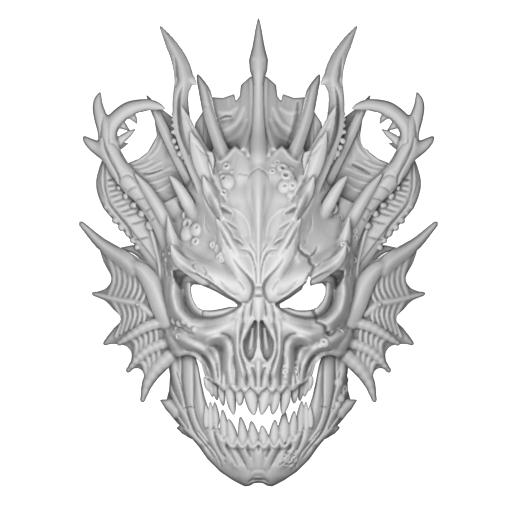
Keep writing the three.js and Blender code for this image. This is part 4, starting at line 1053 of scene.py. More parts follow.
def dome(form, relief=None):
    """Field of a rounded form over the rim plane, below nought inside, with a relief on its front."""
    width = (form_rows(form, 1) * UNIT)[None, :, None]
    depth = form_rows(form, 2)[None, :, None]
    power = form_rows(form, 3)[None, :, None] if len(form[0]) > 3 else np.float32(ROUNDNESS)
    share = ((OUT / width) ** power + (np.maximum(DEEP, 0.01) / depth) ** power) ** (1 / power)
    radius = np.sqrt(OUT**2 + DEEP**2)
    field = radius * (1 - 1 / share)
    if relief is not None:
        lift = np.clip(DEEP / RELIEF_DEPTH, 0, 1)
        field -= relief[:, :, None].astype(np.float32) * lift
    return field.astype(np.float32)


def smooth_min(a, b, rounding):
    """Two fields joined, with a fillet where they meet."""
    near = np.maximum(rounding - np.abs(a - b), 0) / rounding
    return np.minimum(a, b) - near * near * rounding * 0.25


def smooth_max(a, b, rounding):
    """What two fields share, with a rounded edge where they meet."""
    return -smooth_min(-a, -b, rounding)


def between_rows(field, top, foot):
    """The field shut off above and below two rows of the drawing."""
    return np.maximum(field, np.maximum(up_of(foot) - UP, UP - up_of(top)))


def within_form(field, form):
    """The field shut off above and below the form's first and last rows."""
    return between_rows(field, form[0][0], form[-1][0])


class Span:
    """A box of the grid, so that a small form is worked out only where it is."""

    def __init__(self, low, high, margin, axes=None):
        self.axes = axes or (out, ups, deep)
        self.slices = []
        for axis, a, b in zip(self.axes, low, high):
            first = int(np.clip(np.searchsorted(axis, a - margin), 0, len(axis) - 1))
            last = int(np.clip(np.searchsorted(axis, b + margin), first + 1, len(axis)))
            self.slices.append(slice(first, last))
        self.slices = tuple(self.slices)
        x, y, z = (axis[s] for axis, s in zip(self.axes, self.slices))
        self.x, self.y, self.z = x[:, None, None], y[None, :, None], z[None, None, :]


# A spike's field is worked out as far as its radius times this, and a margin in mm.
SPIKE_REACH = 1.4
SPIKE_MARGIN = 5
# A swell is full only where the spike's radius is at least this, in mm.
SWELL_RADIUS = 3


def spike_field(stations, span, power=2.0, flatness=1.0, swell=None, pieces=5):
    """Field of a tapered horn through stations of out, up, deep and radius, over a span of the grid."""
    path = smooth_path(stations, pieces)
    numbers = np.linspace(0, len(stations) - 1, len(path))
    path[:, 3] = np.interp(numbers, range(len(stations)), [station[3] for station in stations])
    axes = (span.x.ravel(), span.y.ravel(), span.z.ravel())
    lengths = np.concatenate([[0], np.cumsum(np.linalg.norm(np.diff(path[:, :3], axis=0), axis=1))])
    shape = (span.x.size, span.y.size, span.z.size)
    field = np.full(shape, FAR, np.float32)
    for k, (a, b) in enumerate(zip(path[:-1], path[1:])):
        reach = max(a[3], b[3]) * SPIKE_REACH + SPIKE_MARGIN
        local = Span(np.minimum(a, b)[:3], np.maximum(a, b)[:3], reach, axes)
        step = b[:3] - a[:3]
        length = max(float(np.linalg.norm(step)), 1e-6)
        along = step / length
        across = np.cross(along, (0, 0, 1.0))
        across /= max(np.linalg.norm(across), 1e-6)
        front = np.cross(across, along)
        dx, dy, dz = local.x - a[0], local.y - a[1], local.z - a[2]
        run = np.clip((dx * along[0] + dy * along[1] + dz * along[2]) / length, 0, 1)
        dx, dy, dz = dx - run * step[0], dy - run * step[1], dz - run * step[2]
        u = dx * across[0] + dy * across[1] + dz * across[2]
        w = dx * front[0] + dy * front[1] + dz * front[2]
        rest = dx * along[0] + dy * along[1] + dz * along[2]
        radius = a[3] + run * (b[3] - a[3])
        off = (np.abs(u) ** power + np.abs(w / flatness) ** power + np.abs(rest) ** power) ** (1 / power)
        if swell is not None:
            share = (lengths[k] + run * length) / lengths[-1]
            around = off + 0.01
            fullness = np.clip(radius / SWELL_RADIUS, 0, 1)
            radius = radius + swell(share, u / around, w / flatness / around) * fullness
        part = (off - radius).astype(np.float32)
        field[local.slices] = np.minimum(field[local.slices], part)
    return field


def add_spike(body, stations, rounding, power, flatness=1, swell=None):
    """Joins a spike whose stations hold h, v, depth and radius."""
    spots = np.array([(out_of(h), up_of(v), z, r) for h, v, z, r in stations])
    margin = spots[:, 3].max() * SPIKE_REACH + SPIKE_MARGIN + 1
    span = Span(spots[:, :3].min(0), spots[:, :3].max(0), margin)
    field = spike_field(spots, span, power, flatness, swell)
    body[span.slices] = smooth_min(body[span.slices], field, rounding)


# A swell gives the height in mm added to a radius, at a share of the length and a way round, u and w.
def fluted(count, height):
    """Swell in flutes along a horn."""

    def swell(share, u, w):
        return height * np.cos(count * np.arctan2(u, w))

    return swell


# A stripped horn's strip and groove: depths in mm, and the shares of the width over which they fall away.
STRIP_DEPTH = 3
STRIP_EDGE = 0.08
STRIP_GROOVE_DEPTH = 1.5
STRIP_GROOVE_WIDTH = 0.07


def stripped(groove):
    """Swell of a horn whose outer side is sunk from a groove on."""

    def swell(share, u, w):
        outer = np.clip((u - groove) / STRIP_EDGE, 0, 1)
        cut = STRIP_GROOVE_DEPTH * np.exp(-(((u - groove) / STRIP_GROOVE_WIDTH) ** 2))
        return -STRIP_DEPTH * outer * np.clip(w, 0, 1) - cut

    return swell


def ringed(count, height):
    """Swell in rings along a ray."""

    def swell(share, u, w):
        return height * (np.abs(np.cos(count * math.pi * share)) - 0.5) * np.clip(w + 0.5, 0, 1)

    return swell


def fin_front(h, v):
    """Depth in mm of the fin's front."""
    return FIN_ROOT_DEPTH - FIN_SLOPE * np.hypot(h - FIN_ROOT[0], v - FIN_ROOT[1])


def ray_spot(name, share):
    """Place on the front, in units, at a share of a ray's length."""
    path = smooth_path(RIB_LINES.get(name) or [(h, v) for h, v, _, _ in FIN_RAYS[name]], 4)
    reach = np.concatenate([[0], np.cumsum(np.hypot(*np.diff(path, axis=0).T))])
    return np.array([np.interp(share * reach[-1], reach, path[:, k]) for k in (0, 1)])


def fin_ribs():
    """Ribs of the fin's panels, each an arc from ray to ray that is drawn in towards the root."""
    arcs = {}
    for first, second, first_shares, second_shares, drawn_in in FIN_PANELS:
        for k in range(min(len(first_shares), len(second_shares))):
            a, b = ray_spot(first, first_shares[k]), ray_spot(second, second_shares[k])
            middle = (a + b) / 2 * (1 - drawn_in) + np.array(FIN_ROOT) * drawn_in
            width = RIB_WIDTH + RIB_WIDENING * np.hypot(*(middle - FIN_ROOT))
            ends = [(*end, width * RIB_END_SHARE, RIB_END_HEIGHT) for end in (a, b)]
            arcs[first, k] = [ends[0], (*middle, width, RIB_HEIGHT), ends[1]]
    return raised_map(arcs, "lip")


# The depth in mm within which every web lies, and the margin round one.
WEB_DEPTH = 70
WEB_MARGIN = 3


def add_web(body, outline, face, thickness, rounding=ROUNDING, edge_rounding=ROUNDING):
    """Joins a thin web whose front lies at the depths given over the half grid."""
    spots = np.array([(out_of(h), up_of(v)) for h, v in outline])
    span = Span((*spots.min(0), 0), (*spots.max(0), WEB_DEPTH), WEB_MARGIN)
    rows, columns, _ = span.slices
    edge = outline_distance(outline, H[rows, columns], V[rows, columns])
    middle = (face[rows, columns] - thickness / 2)[:, :, None].astype(np.float32)
    sheet = np.abs(span.z - middle) - thickness / 2
    sheet = smooth_max(sheet, edge[:, :, None], edge_rounding)
    body[span.slices] = smooth_min(body[span.slices], sheet, rounding)


def leaning(place, start, length, depth, rise):
    """Depth in mm of a web that leans evenly forward along the drawing."""
    return depth + rise * (place - start) / length


def crown_front(h, v):
    """Depth of the crown web's front, pleated, folded and rising to the forehead."""
    pleat = PLEAT_HEIGHT * np.cos(np.abs(h - MIDDLE_H) / PLEAT_WIDTH * math.pi)
    climb = np.clip((v - CROWN_RISE_TOP) / CROWN_RISE_LENGTH, 0, 1) ** 1.4
    beside_spine = np.exp(-(((h - CROWN_RISE_MIDDLE) / CROWN_RISE_WIDTH) ** 2))
    rise = np.minimum(CROWN_RISE * climb * beside_spine, CROWN_RISE_MOST)
    return leaning(v, *CROWN_LEAN) + pleat + rise + raised_map(CROWN_FOLDS, "roll")


def side_front(v):
    return leaning(v, *SIDE_LEAN) + raised_map(SIDE_FOLDS, "roll")


def blade_front(v):
    return BLADE_WEB_DEPTH + BLADE_WEB_SLOPE * (v - BLADE_WEB_TOP)


def temple_front(h, relief):
    """Depth of the temple web's front, which carries the face's relief near the skull."""
    return leaning(h, *TEMPLE_LEAN) + TEMPLE_RELIEF_SHARE * relief * (h < TEMPLE_RELIEF_EDGE)


# Relief on the front of the skull.
broad_relief = form_map(FACE_FORMS)
over = dome_height(HEAD_FORM) + broad_relief - SOFT_HEIGHT
broad_relief -= np.maximum(over, 0) - SOFT_RISE * (1 - np.exp(-np.maximum(over, 0) / SOFT_RISE))
carving = np.maximum(raised_map(RIDGES, "roll"), raised_map(LIPS, "lip"))
carving = carving + CREST_SHARE * raised_map(CRESTS, "crest") + sunk_map(GROOVES)
carving += sum(stroke_map(points, "form") for points in HOLLOWS.values())
face_relief = broad_relief + carving

# The eye socket: its depth, and the lids and creases in it.
recess = np.clip(-outline_distance(SOCKET) / UNIT / SOCKET_EDGE, 0, 1)
recess = recess * recess * (3 - 2 * recess)
socket_relief = raised_map(SOCKET_RIDGES, "lip") + sunk_map(SOCKET_GROOVES)
socket_relief = socket_relief + stroke_map(OUTER_CORNER, "form")
socket_depth = SOCKET_DEPTH * np.clip((H - SOCKET_CORNER_H) / SOCKET_CORNER_WIDTH, SOCKET_CORNER_SHARE, 1)
face_relief = face_relief * (1 - SOCKET_SMOOTHING * recess) - recess * (socket_depth - socket_relief)

# The nose hole and the jaw.
nose = np.clip(-outline_distance(NOSE_HOLE) / NOSE_EDGE, 0, 1)
face_relief -= nose * (NOSE_DEPTH - stroke_map(TURNED_BONE, "roll"))
jaw_relief = raised_map(JAW_RIDGES, "roll") + sunk_map(JAW_GROOVES)


def skull_front(relief):
    """Field of the skull and the muzzle with a relief on their front."""
    muzzle = between_rows(dome(MUZZLE_FORM, relief), MUZZLE_TOP, MUZZLE_FOOT)
    return smooth_min(dome(HEAD_FORM, relief), muzzle, MUZZLE_ROUNDING)


def lowest_nearby(surface, reach):
    """The lowest height within reach of each place, so that a wall follows the foot of a cliff."""
    count = steps_of(reach)
    for axis in (0, 1):
        spread = [(count, count) if k == axis else (0, 0) for k in (0, 1)]
        padded = np.pad(surface, spread, mode="edge")
        size = surface.shape[axis]
        surface = np.min([np.take(padded, range(k, k + size), axis) for k in range(2 * count + 1)], 0)
    return surface


# The hollows behind, which leave a wall everywhere.
skull_hollow = within_form(dome(HEAD_HOLLOW), HEAD_HOLLOW)
skull_hollow = np.minimum(skull_hollow, within_form(dome(MUZZLE_HOLLOW), MUZZLE_HOLLOW))
skull_inside = skull_front(lowest_nearby(face_relief, SKULL_WALL_REACH)) + THINNEST_WALL
skull_hollow = np.maximum(skull_hollow, skull_inside)
jaw_inside = dome(JAW_FORM, lowest_nearby(jaw_relief, JAW_WALL_REACH)) + THINNEST_WALL
jaw_hollow = within_form(np.maximum(dome(JAW_HOLLOW), jaw_inside), JAW_HOLLOW)
mouth_room = np.maximum(OUT - MOUTH_ROOM_WIDTH * UNIT, DEEP - MUZZLE_BACK)
mouth_room = between_rows(mouth_room, MOUTH_ROOM_TOP, MOUTH_ROOM_FOOT)

# Skull and muzzle, with the webs, spikes, horns and rays.
skull_edge = outline_distance(SKULL_OUTLINE)[:, :, None]
body = smooth_max(skull_front(face_relief), skull_edge, SKULL_EDGE_ROUNDING)
add_web(body, CROWN_WEB, crown_front(H, V), THIN_WEB)
add_web(body, SIDE_WEB, side_front(V), THIN_WEB)
add_web(body, BLADE_WEB, blade_front(V), THICK_WEB, BLADE_WEB_ROUNDING)
add_web(body, TEMPLE_WEB, temple_front(H, face_relief), THICK_WEB)
fin_edge = [tuple(spot) for edge in FIN_EDGES for spot in smooth_path(edge, 4)]
fin_web = [*FIN_WEB_ABOVE, *fin_edge, *FIN_WEB_BELOW]
fin_relief = fin_front(H, V) - FIN_WEB_SINK + fin_ribs()
add_web(body, fin_web, fin_relief, FIN_WEB_THICKNESS, FIN_ROUNDING, FIN_ROUNDING)
SWELLS = {
    "rear_coil": stripped(0.55),
    "blade_horn": fluted(5, 0.4),
    "ray_1": fluted(3, 0.4),
    "ray_4": ringed(7, 0.6),
    "ray_5": ringed(8, 0.8),
    "ray_6": ringed(6, 0.5),
}
for name, stations in SPIKES.items():
    rounding = BROAD_ROOT_ROUNDING if name in BROAD_ROOTS else ROUNDING
    sharpness = SHARPNESS.get(name, 2)
    add_spike(body, stations, rounding, sharpness, FLATNESS.get(name, 1), SWELLS.get(name))
for name, stations in FIN_RAYS.items():
    placed = [(h, v, fin_front(h, v) + lift, r) for h, v, lift, r in stations]
    add_spike(body, placed, FIN_ROUNDING, RAY_SHARPNESS, FLATNESS.get(name, 1), SWELLS.get(name))
add_spike(body, SPINE_HEAD, SPINE_HEAD_ROUNDING, SPINE_SHARPNESS)
add_spike(body, SPINE_STEM, ROUNDING, SPINE_SHARPNESS)
body = smooth_max(body, -skull_hollow, HOLLOW_ROUNDING)
body = smooth_max(body, -jaw_hollow, HOLLOW_ROUNDING)

# The jaw, whose branches run up behind the cheekbones.
jaw_edge = outline_distance(JAW_OUTLINE)[:, :, None]
jaw = smooth_max(dome(JAW_FORM, jaw_relief), jaw_edge, JAW_EDGE_ROUNDING)
jaw = smooth_max(np.maximum(jaw, UP - up_of(JAW_TOP)), -jaw_hollow, HOLLOW_ROUNDING)
body = np.minimum(body, jaw)
body = np.maximum(body, -mouth_room)
body = np.maximum(body, -DEEP)
del skull_hollow, skull_inside, jaw_hollow, jaw_inside, jaw, mouth_room

# The whole width, then what differs from side to side.
whole = np.concatenate([body[::-1], body], 0)
del body
wide = np.concatenate([-out[::-1], out])
whole_axes = (wide, ups, deep)
ORIGIN = np.array([wide[0], ups[0], deep[0]])
WIDE_H = (MIDDLE_H + wide / UNIT)[:, None] + 0 * ups[None, :]
WIDE_V = (MIDDLE_V - ups / UNIT)[None, :] + 0 * wide[:, None]


def both_sides(half):
    """A map of the left half with its mirror image beside it."""
    return np.concatenate([half[::-1], half], 0)


muzzle_front = both_sides(dome_height(MUZZLE_FORM))
jaw_front = both_sides(dome_height(JAW_FORM))


def right_of(h):
    return (h - MIDDLE_H) * UNIT


def front_at(surface, x, y):
    """The value of a map of the whole front at a place in mm."""
    i = int(np.clip(np.searchsorted(wide, x), 0, len(wide) - 1))
    j = int(np.clip(np.searchsorted(ups, y), 0, len(ups) - 1))
    return float(surface[i, j])


# Thickness of an upper and of a lower tooth, whose root shows as a drop, as shares from root to tip.
UPPER_FANG = [(0, 0.94), (0.25, 1.04), (0.5, 0.98), (0.74, 0.76), (0.9, 0.48), (1, 0.22)]
LOWER_FANG = [(0, 0.36), (0.1, 0.72), (0.28, 1.04), (0.5, 0.98), (0.74, 0.68), (0.9, 0.44), (1, 0.24)]
LOWEST_TOOTH = 66.0
# How far a tooth's front stands before the gum, in mm.
UPPER_LIFT = -1.6
LOWER_LIFT = 1.2
# A tooth's bend sideways, the share of its width that its axis lies behind its front, how far its tip
# leans back in mm, and its section.
TOOTH_BEND = 0.8
TOOTH_SETBACK = 0.85
TOOTH_LEAN = 1.2
TOOTH_FLATNESS = 0.85
TOOTH_SHARPNESS = 1.9


def add_tooth(root_h, root_v, tip_h, tip_v, half_width, surface, fang, lift):
    """A fang whose front at the root stands by lift mm before the gum."""
    front = max(front_at(surface, right_of(root_h), up_of(root_v)) + lift, LOWEST_TOOTH)
    width = half_width * UNIT
    stations = []
    for share, thick in fang:
        h = root_h + (tip_h - root_h) * share + (root_h - tip_h) * share * (1 - share) * TOOTH_BEND
        depth = front - width * thick * TOOTH_SETBACK - TOOTH_LEAN * share**2
        stations.append((right_of(h), up_of(root_v + (tip_v - root_v) * share), depth, width * thick))
    stations = np.array(stations)
    span = Span(stations[:, :3].min(0), stations[:, :3].max(0), width + SPIKE_MARGIN + 1, whole_axes)
    field = spike_field(stations, span, TOOTH_SHARPNESS, TOOTH_FLATNESS, pieces=3)
    whole[span.slices] = smooth_min(whole[span.slices], field, TOOTH_ROUNDING)


for tooth in UPPER_TEETH:
    add_tooth(*tooth, muzzle_front, UPPER_FANG, UPPER_LIFT)
for tooth in LOWER_TEETH:
    add_tooth(*tooth, jaw_front, LOWER_FANG, LOWER_LIFT)
whole = np.maximum(whole - THICKER, -DEEP)
for hole in (LEFT_EYE_HOLE, RIGHT_EYE_HOLE):
    whole = smooth_max(whole, -outline_distance(hole, WIDE_H, WIDE_V)[:, :, None], EYE_ROUNDING)


def heights_of_front():
    """Height of the front over the whole grid, and 0 beside the mask."""
    filled = whole < 0
    last = whole.shape[2] - 1 - np.argmax(filled[:, :, ::-1], 2)
    last = np.minimum(last, whole.shape[2] - 2)
    below = np.take_along_axis(whole, last[:, :, None], 2)[:, :, 0]
    above = np.take_along_axis(whole, last[:, :, None] + 1, 2)[:, :, 0]
    height = deep[last] + STEP * below / np.minimum(below - above, -1e-3)
    return np.where(filled.any(2), height, 0)


def mean_nearby(values, reach):
    """Mean over a square or cube of 2 * reach + 1 cells, by running sums."""
    for axis in range(values.ndim):
        spread = [(reach + 1, reach) if k == axis else (0, 0) for k in range(values.ndim)]
        sums = np.cumsum(np.pad(values, spread, mode="edge"), axis, dtype=np.float64)
        size = values.shape[axis]
        high = np.take(sums, range(2 * reach + 1, 2 * reach + 1 + size), axis)
        values = ((high - np.take(sums, range(size), axis)) / (2 * reach + 1)).astype(np.float32)
    return values


# The softened front, which growths stand on, and its slopes.
SOFTENING = 1.8
soft_front = mean_nearby(heights_of_front(), steps_of(SOFTENING))
slope_x, slope_y = np.gradient(soft_front, STEP)


def vertex_places(mesh):
    places = np.empty(len(mesh.vertices) * 3)
    mesh.vertices.foreach_get("co", places)
    return places.reshape(-1, 3)


def corner_rows(mesh):
    mesh.calc_loop_triangles()
    rows = np.empty(len(mesh.loop_triangles) * 3, np.int32)
    mesh.loop_triangles.foreach_get("vertices", rows)
    return rows.reshape(-1, 3)


def turned_shape(name, profile, sides):
    """Closed mesh of a profile of radius and height turned about Z, from its foot on the axis to its top."""
    points, faces = [(0, 0, profile[0][1])], []
    for radius, height in profile[1:-1]:
        for k in range(sides):
            angle = 2 * math.pi * k / sides
            points.append((radius * math.cos(angle), radius * math.sin(angle), height))
    points.append((0, 0, profile[-1][1]))
    rings = len(profile) - 2
    for k in range(sides):
        after = (k + 1) % sides
        faces.append((0, 1 + after, 1 + k))
        for ring in range(rings - 1):
            low, high = 1 + ring * sides, 1 + (ring + 1) * sides
            faces.append((low + k, low + after, high + after, high + k))
        top = 1 + (rings - 1) * sides
        faces.append((top + k, top + after, len(points) - 1))
    mesh = bpy.data.meshes.new(name)
    mesh.from_pydata(points, [], faces)
    shape = bpy.data.objects.new(name, mesh)
    bpy.context.collection.objects.link(shape)
    return shape


class Socket:
    """A value in a node tree, worked out by ordinary sums."""

    def __init__(self, tree, socket):
        self.tree, self.socket = tree, socket

    def sum_node(self, operation, first, second, clamp=False):
        settings = {"operation": operation, "use_clamp": clamp}
        return output(self.tree, "ShaderNodeMath", settings, {0: first, 1: second})

    def __add__(self, other):
        return self.sum_node("ADD", self, other)

    def __radd__(self, other):
        return self.sum_node("ADD", other, self)

    def __sub__(self, other):
        return self.sum_node("SUBTRACT", self, other)

    def __rsub__(self, other):
        return self.sum_node("SUBTRACT", other, self)

    def __mul__(self, other):
        return self.sum_node("MULTIPLY", self, other)

    def __rmul__(self, other):
        return self.sum_node("MULTIPLY", other, self)

    def held(self):
        """The value kept from 0 to 1."""
        return self.sum_node("ADD", self, 0.0, clamp=True)


def made(tree, kind, settings=(), values=()):
    """A node of a kind, its settings first and then its values or links, by a socket's name or number."""
    node = tree.nodes.new(kind)
    for name, value in dict(settings).items():
        setattr(node, name, value)
    for name, value in dict(values).items():
        slot = node.inputs[name]
        if isinstance(value, Socket):
            tree.links.new(value.socket, slot)
        else:
            slot.default_value = value
    return node


def output(tree, kind, settings=(), values=(), name=0):
    """One output of such a node, by its name or number."""
    return Socket(tree, made(tree, kind, settings, values).outputs[name])


def attribute_of_points(tree, kind, name):
    """A named attribute of the points in a geometry tree."""
    node = "GeometryNodeInputNamedAttribute"
    return output(tree, node, {"data_type": kind}, {"Name": name}, "Attribute")


# A growth is turned by up to this angle, a full turn.
MOST_TURN = 6.28


def growth_tree():
    """Node tree that sets a shape on every point, standing along its facing, sized and turned at random."""
    tree = bpy.data.node_groups.new("set_growths", "GeometryNodeTree")
    face = tree.interface
    face.new_socket("Geometry", in_out="INPUT", socket_type="NodeSocketGeometry")
    inputs = {"Shape": "Object", "Material": "Material", "Unevenness": "Float", "Seed": "Int"}
    for name, kind in inputs.items():
        face.new_socket(name, in_out="INPUT", socket_type="NodeSocket" + kind)
    face.new_socket("Geometry", in_out="OUTPUT", socket_type="NodeSocketGeometry")
    given = {socket.name: Socket(tree, socket) for socket in made(tree, "NodeGroupInput").outputs}
    seed, unevenness = given["Seed"], given["Unevenness"]
    shape = output(tree, "GeometryNodeObjectInfo", (), {"Object": given["Shape"]}, "Geometry")

    # Turned about its facing by a random angle.
    facing = attribute_of_points(tree, "FLOAT_VECTOR", "facing")
    upright = output(tree, "FunctionNodeAlignRotationToVector", {"axis": "Z"}, {"Vector": facing})
    turns = {2: 0.0, 3: MOST_TURN, "Seed": seed}
    turn = output(tree, "FunctionNodeRandomValue", {"data_type": "FLOAT"}, turns, 1)
    spin = output(tree, "ShaderNodeCombineXYZ", (), {"Z": turn})
    spin = output(tree, "FunctionNodeEulerToRotation", (), {"Euler": spin})
    rotations = {"Rotation": upright, 1: spin}
    rotation = output(tree, "FunctionNodeRotateRotation", {"rotation_space": "LOCAL"}, rotations)

    # Its size, uneven in each direction.
    limits = {0: 1 - unevenness, 1: 1 + unevenness, "Seed": seed}
    uneven = output(tree, "FunctionNodeRandomValue", {"data_type": "FLOAT_VECTOR"}, limits)
    size = attribute_of_points(tree, "FLOAT", "size")
    scale = output(tree, "ShaderNodeVectorMath", {"operation": "SCALE"}, {0: uneven, "Scale": size})

    where = {"Points": given["Geometry"], "Instance": shape, "Rotation": rotation, "Scale": scale}
    placed = output(tree, "GeometryNodeInstanceOnPoints", (), where)
    joined = output(tree, "GeometryNodeRealizeInstances", (), {"Geometry": placed})
    finish = {"Geometry": joined, "Material": given["Material"]}
    made(tree, "NodeGroupOutput", (), {0: output(tree, "GeometryNodeSetMaterial", (), finish)})
    return tree


resin = bpy.data.materials.new("cast_resin")
set_growths = growth_tree()


def grown(name, shape, places, unevenness, seed):
    """Plain mesh of a shape set at places, each a point and facing in mm with a size in mm."""
    mesh = bpy.data.meshes.new(name)
    mesh.from_pydata([tuple(np.array(point) / 1000) for point, _, _ in places], [], [])
    sizes = mesh.attributes.new("size", "FLOAT", "POINT")
    sizes.data.foreach_set("value", [size / 1000 for _, _, size in places])
    facings = mesh.attributes.new("facing", "FLOAT_VECTOR", "POINT")
    facings.data.foreach_set("vector", np.array([facing for _, facing, _ in places]).ravel())
    carrier = bpy.data.objects.new(name, mesh)
    bpy.context.collection.objects.link(carrier)
    setter = carrier.modifiers.new("set growths", "NODES")
    setter.node_group = set_growths
    values = {"Shape": shape, "Material": resin, "Unevenness": unevenness, "Seed": seed}
    for item in set_growths.interface.items_tree:
        if item.in_out == "INPUT" and item.name in values:
            setter[item.identifier] = values[item.name]
    result = bpy.data.meshes.new_from_object(carrier.evaluated_get(bpy.context.evaluated_depsgraph_get()))
    carrier.modifiers.clear()
    bpy.data.objects.remove(carrier)
    return result


# A mesh's field is worked out this many cells to either side of its surface.
FIELD_BAND = 3


def mesh_field(mesh):
    """Field in mm of a closed mesh in metres, and the box of the grid that holds it."""
    places = (vertex_places(mesh) * 1000 - ORIGIN) / STEP
    unit_steps = openvdb.createLinearTransform(voxelSize=1.0)
    rows = corner_rows(mesh).astype(np.uint32)
    grid = openvdb.FloatGrid.createLevelSetFromPolygons(
        places, triangles=rows, transform=unit_steps, halfWidth=FIELD_BAND
    )
    low = np.maximum(np.floor(places.min(0)).astype(int) - FIELD_BAND, 0)
    high = np.minimum(np.ceil(places.max(0)).astype(int) + FIELD_BAND + 1, whole.shape)
    values = np.zeros(high - low)
    grid.copyToArray(values, ijk=tuple(int(k) for k in low))
    return tuple(slice(a, b) for a, b in zip(low, high)), (values * STEP).astype(np.float32)


# A growth's facing leans no steeper than this, so that it still shows from the front.
STEEPEST_FACING = 0.9


def place_on_front(h, v, sink=0.0):
    """Point on the front at a place of the drawing, and the way the front faces there."""
    x, y = right_of(h), up_of(v)
    across, up = front_at(slope_x, x, y), front_at(slope_y, x, y)
    facing = np.array([-across, -up, 1.0])
    facing[:2] *= min(1.0, STEEPEST_FACING / max(np.hypot(across, up), 1e-6))
    facing /= np.linalg.norm(facing)
    return np.array([x, y, front_at(soft_front, x, y)]) - facing * sink, facing


# Profiles of the growths: radius and height as shares of the size, from the foot to the top.
CUP_PROFILE = [(0, -0.5), (0.85, -0.4), (1.0, 0.0), (1.0, 0.3), (0.86, 0.62), (0.62, 0.8), (0, 0.84)]
DOME_PROFILE = [
    (0, -0.5), (0.8, -0.4), (0.94, -0.1), (1.0, 0.22), (0.9, 0.52), (0.66, 0.76), (0.36, 0.88), (0, 0.92),
]
BEAD_PROFILE = [(0, -0.8), (0.6, -0.6), (0.95, -0.1), (0.95, 0.25), (0.6, 0.66), (0, 0.84)]
HOLE_PROFILE = [(0, -1.5), (0.6, -1.3), (0.85, -0.5), (1.0, 0.1), (1.2, 0.6), (0, 0.7)]
# Faces round a growth and round a hole.
GROWTH_SIDES = 14
HOLE_SIDES = 12
# How deep a growth sits, and how far it is drawn back up a slope, as shares of its radius.
GROWTH_SINK = 0.1
GROWTH_DRAWN_BACK = 0.6
# A dome's holes are cut a little wider than they are drawn, and a cup's hole is a share of the cup.
HOLE_WIDENING = 1.25
CUP_HOLE_SHARE = 0.46
# The way a bead faces: outwards, up and forward.
BEAD_FACING = (0.35, 0.0, 0.94)


def growth_place(h, v, radius):
    """Point, facing and size in mm of a growth whose foot is sunk in the front."""
    point, facing = place_on_front(h, v, GROWTH_SINK * radius * UNIT)
    point[:2] -= facing[:2] * GROWTH_DRAWN_BACK * radius * UNIT
    return point, facing, radius * UNIT


def bead_place(side, h, v, depth, radius):
    aside, up, forward = BEAD_FACING
    point = np.array([side * out_of(h), up_of(v), depth])
    return point, np.array([side * aside, up, forward]), radius * UNIT


def hole_place(h, v, radius):
    """Point, facing and size in mm of a hole, on top of what has grown there."""
    point, facing = place_on_front(h, v)
    point[2] = front_at(grown_front, point[0], point[1])
    return point, facing, radius * UNIT


def grown_field(name, profile, sides, places, unevenness, seed):
    """The box of the grid and the field of a profile's shape set at places."""
    shape = turned_shape(name + "_shape", profile, sides)
    box, field = mesh_field(grown(name, shape, places, unevenness, seed))
    bpy.data.objects.remove(shape)
    return box, field


cups = [growth_place(*cup) for cup in CUPS]
domes = [growth_place(*mound) for mound in DOMES]
beads = [bead_place(side, *bead) for side in (-1, 1) for bead in BEADS]
# Each kind's unevenness and seed stand last.
for name, profile, places, unevenness, seed in (
    ("growth_cups", CUP_PROFILE, cups, 0.1, 3),
    ("growth_domes", DOME_PROFILE, domes, 0.12, 5),
    ("scale_beads", BEAD_PROFILE, beads, 0.18, 9),
):
    box, field = grown_field(name, profile, GROWTH_SIDES, places, unevenness, seed)
    whole[box] = smooth_min(whole[box], field, GROWTH_ROUNDING)

grown_front = heights_of_front()
holes = [hole_place(h, v, HOLE_WIDENING * radius) for h, v, radius in GROWTH_HOLES]
holes += [hole_place(h, v, CUP_HOLE_SHARE * radius) for h, v, radius in CUPS]
box, field = grown_field("growth_holes", HOLE_PROFILE, HOLE_SIDES, holes, 0.15, 3)
whole[box] = smooth_max(whole[box], -field, GROWTH_HOLE_ROUNDING)

# Cracks, seams and chips, cut down from the front. Shallower lines than this, in mm, are left out.
SHALLOWEST_CRACK = 0.05
cracks = sunk_map(CRACKS, (WIDE_H, WIDE_V))
depth = np.minimum(cracks, both_sides(sunk_map(SEAMS)))
cracked = (depth < -SHALLOWEST_CRACK)[:, :, None]
floor_of_cracks = (heights_of_front() + depth)[:, :, None]
whole = np.maximum(whole, np.where(cracked, DEEP - floor_of_cracks, -FAR).astype(np.float32))
for chip in CHIPS:
    whole = np.maximum(whole, -outline_distance(chip, WIDE_H, WIDE_V)[:, :, None])


def sampled(values, points):
    """Values of the grid at points in mm."""
    place = (points - ORIGIN) / STEP
    cell = np.clip(np.floor(place).astype(int), 0, np.array(values.shape) - 2)
    part = np.clip(place - cell, 0, 1)
    total = np.zeros(len(points))
    for corner in np.ndindex(2, 2, 2):
        weight = np.prod(np.where(corner, part, 1 - part), axis=1)
        total += weight * values[tuple((cell + corner).T)]
    return total


# The field is cut off at this distance in mm before it is made a mesh.
FIELD_LIMIT = 4.0


def field_mesh(field, name):
    """Closed mesh of the field's surface, in metres."""
    grid = openvdb.FloatGrid(FIELD_LIMIT)
    grid.copyFromArray(np.clip(field, -FIELD_LIMIT, FIELD_LIMIT).astype(float), tolerance=0.0)
    points, triangles, quads = grid.convertToPolygons(isovalue=0.0, adaptivity=0.0)
    points = (np.asarray(points, float) * STEP + ORIGIN) / 1000
    faces = np.asarray(triangles).tolist() + np.asarray(quads).tolist()
    mesh = bpy.data.meshes.new(name)
    mesh.from_pydata(points.tolist(), [], faces)
    mesh.update()
    return mesh


def signed_volume(mesh):
    a, b, c = vertex_places(mesh)[corner_rows(mesh)].transpose(1, 0, 2)
    return float(np.einsum("ij,ij->i", a, np.cross(b, c)).sum() / 6)


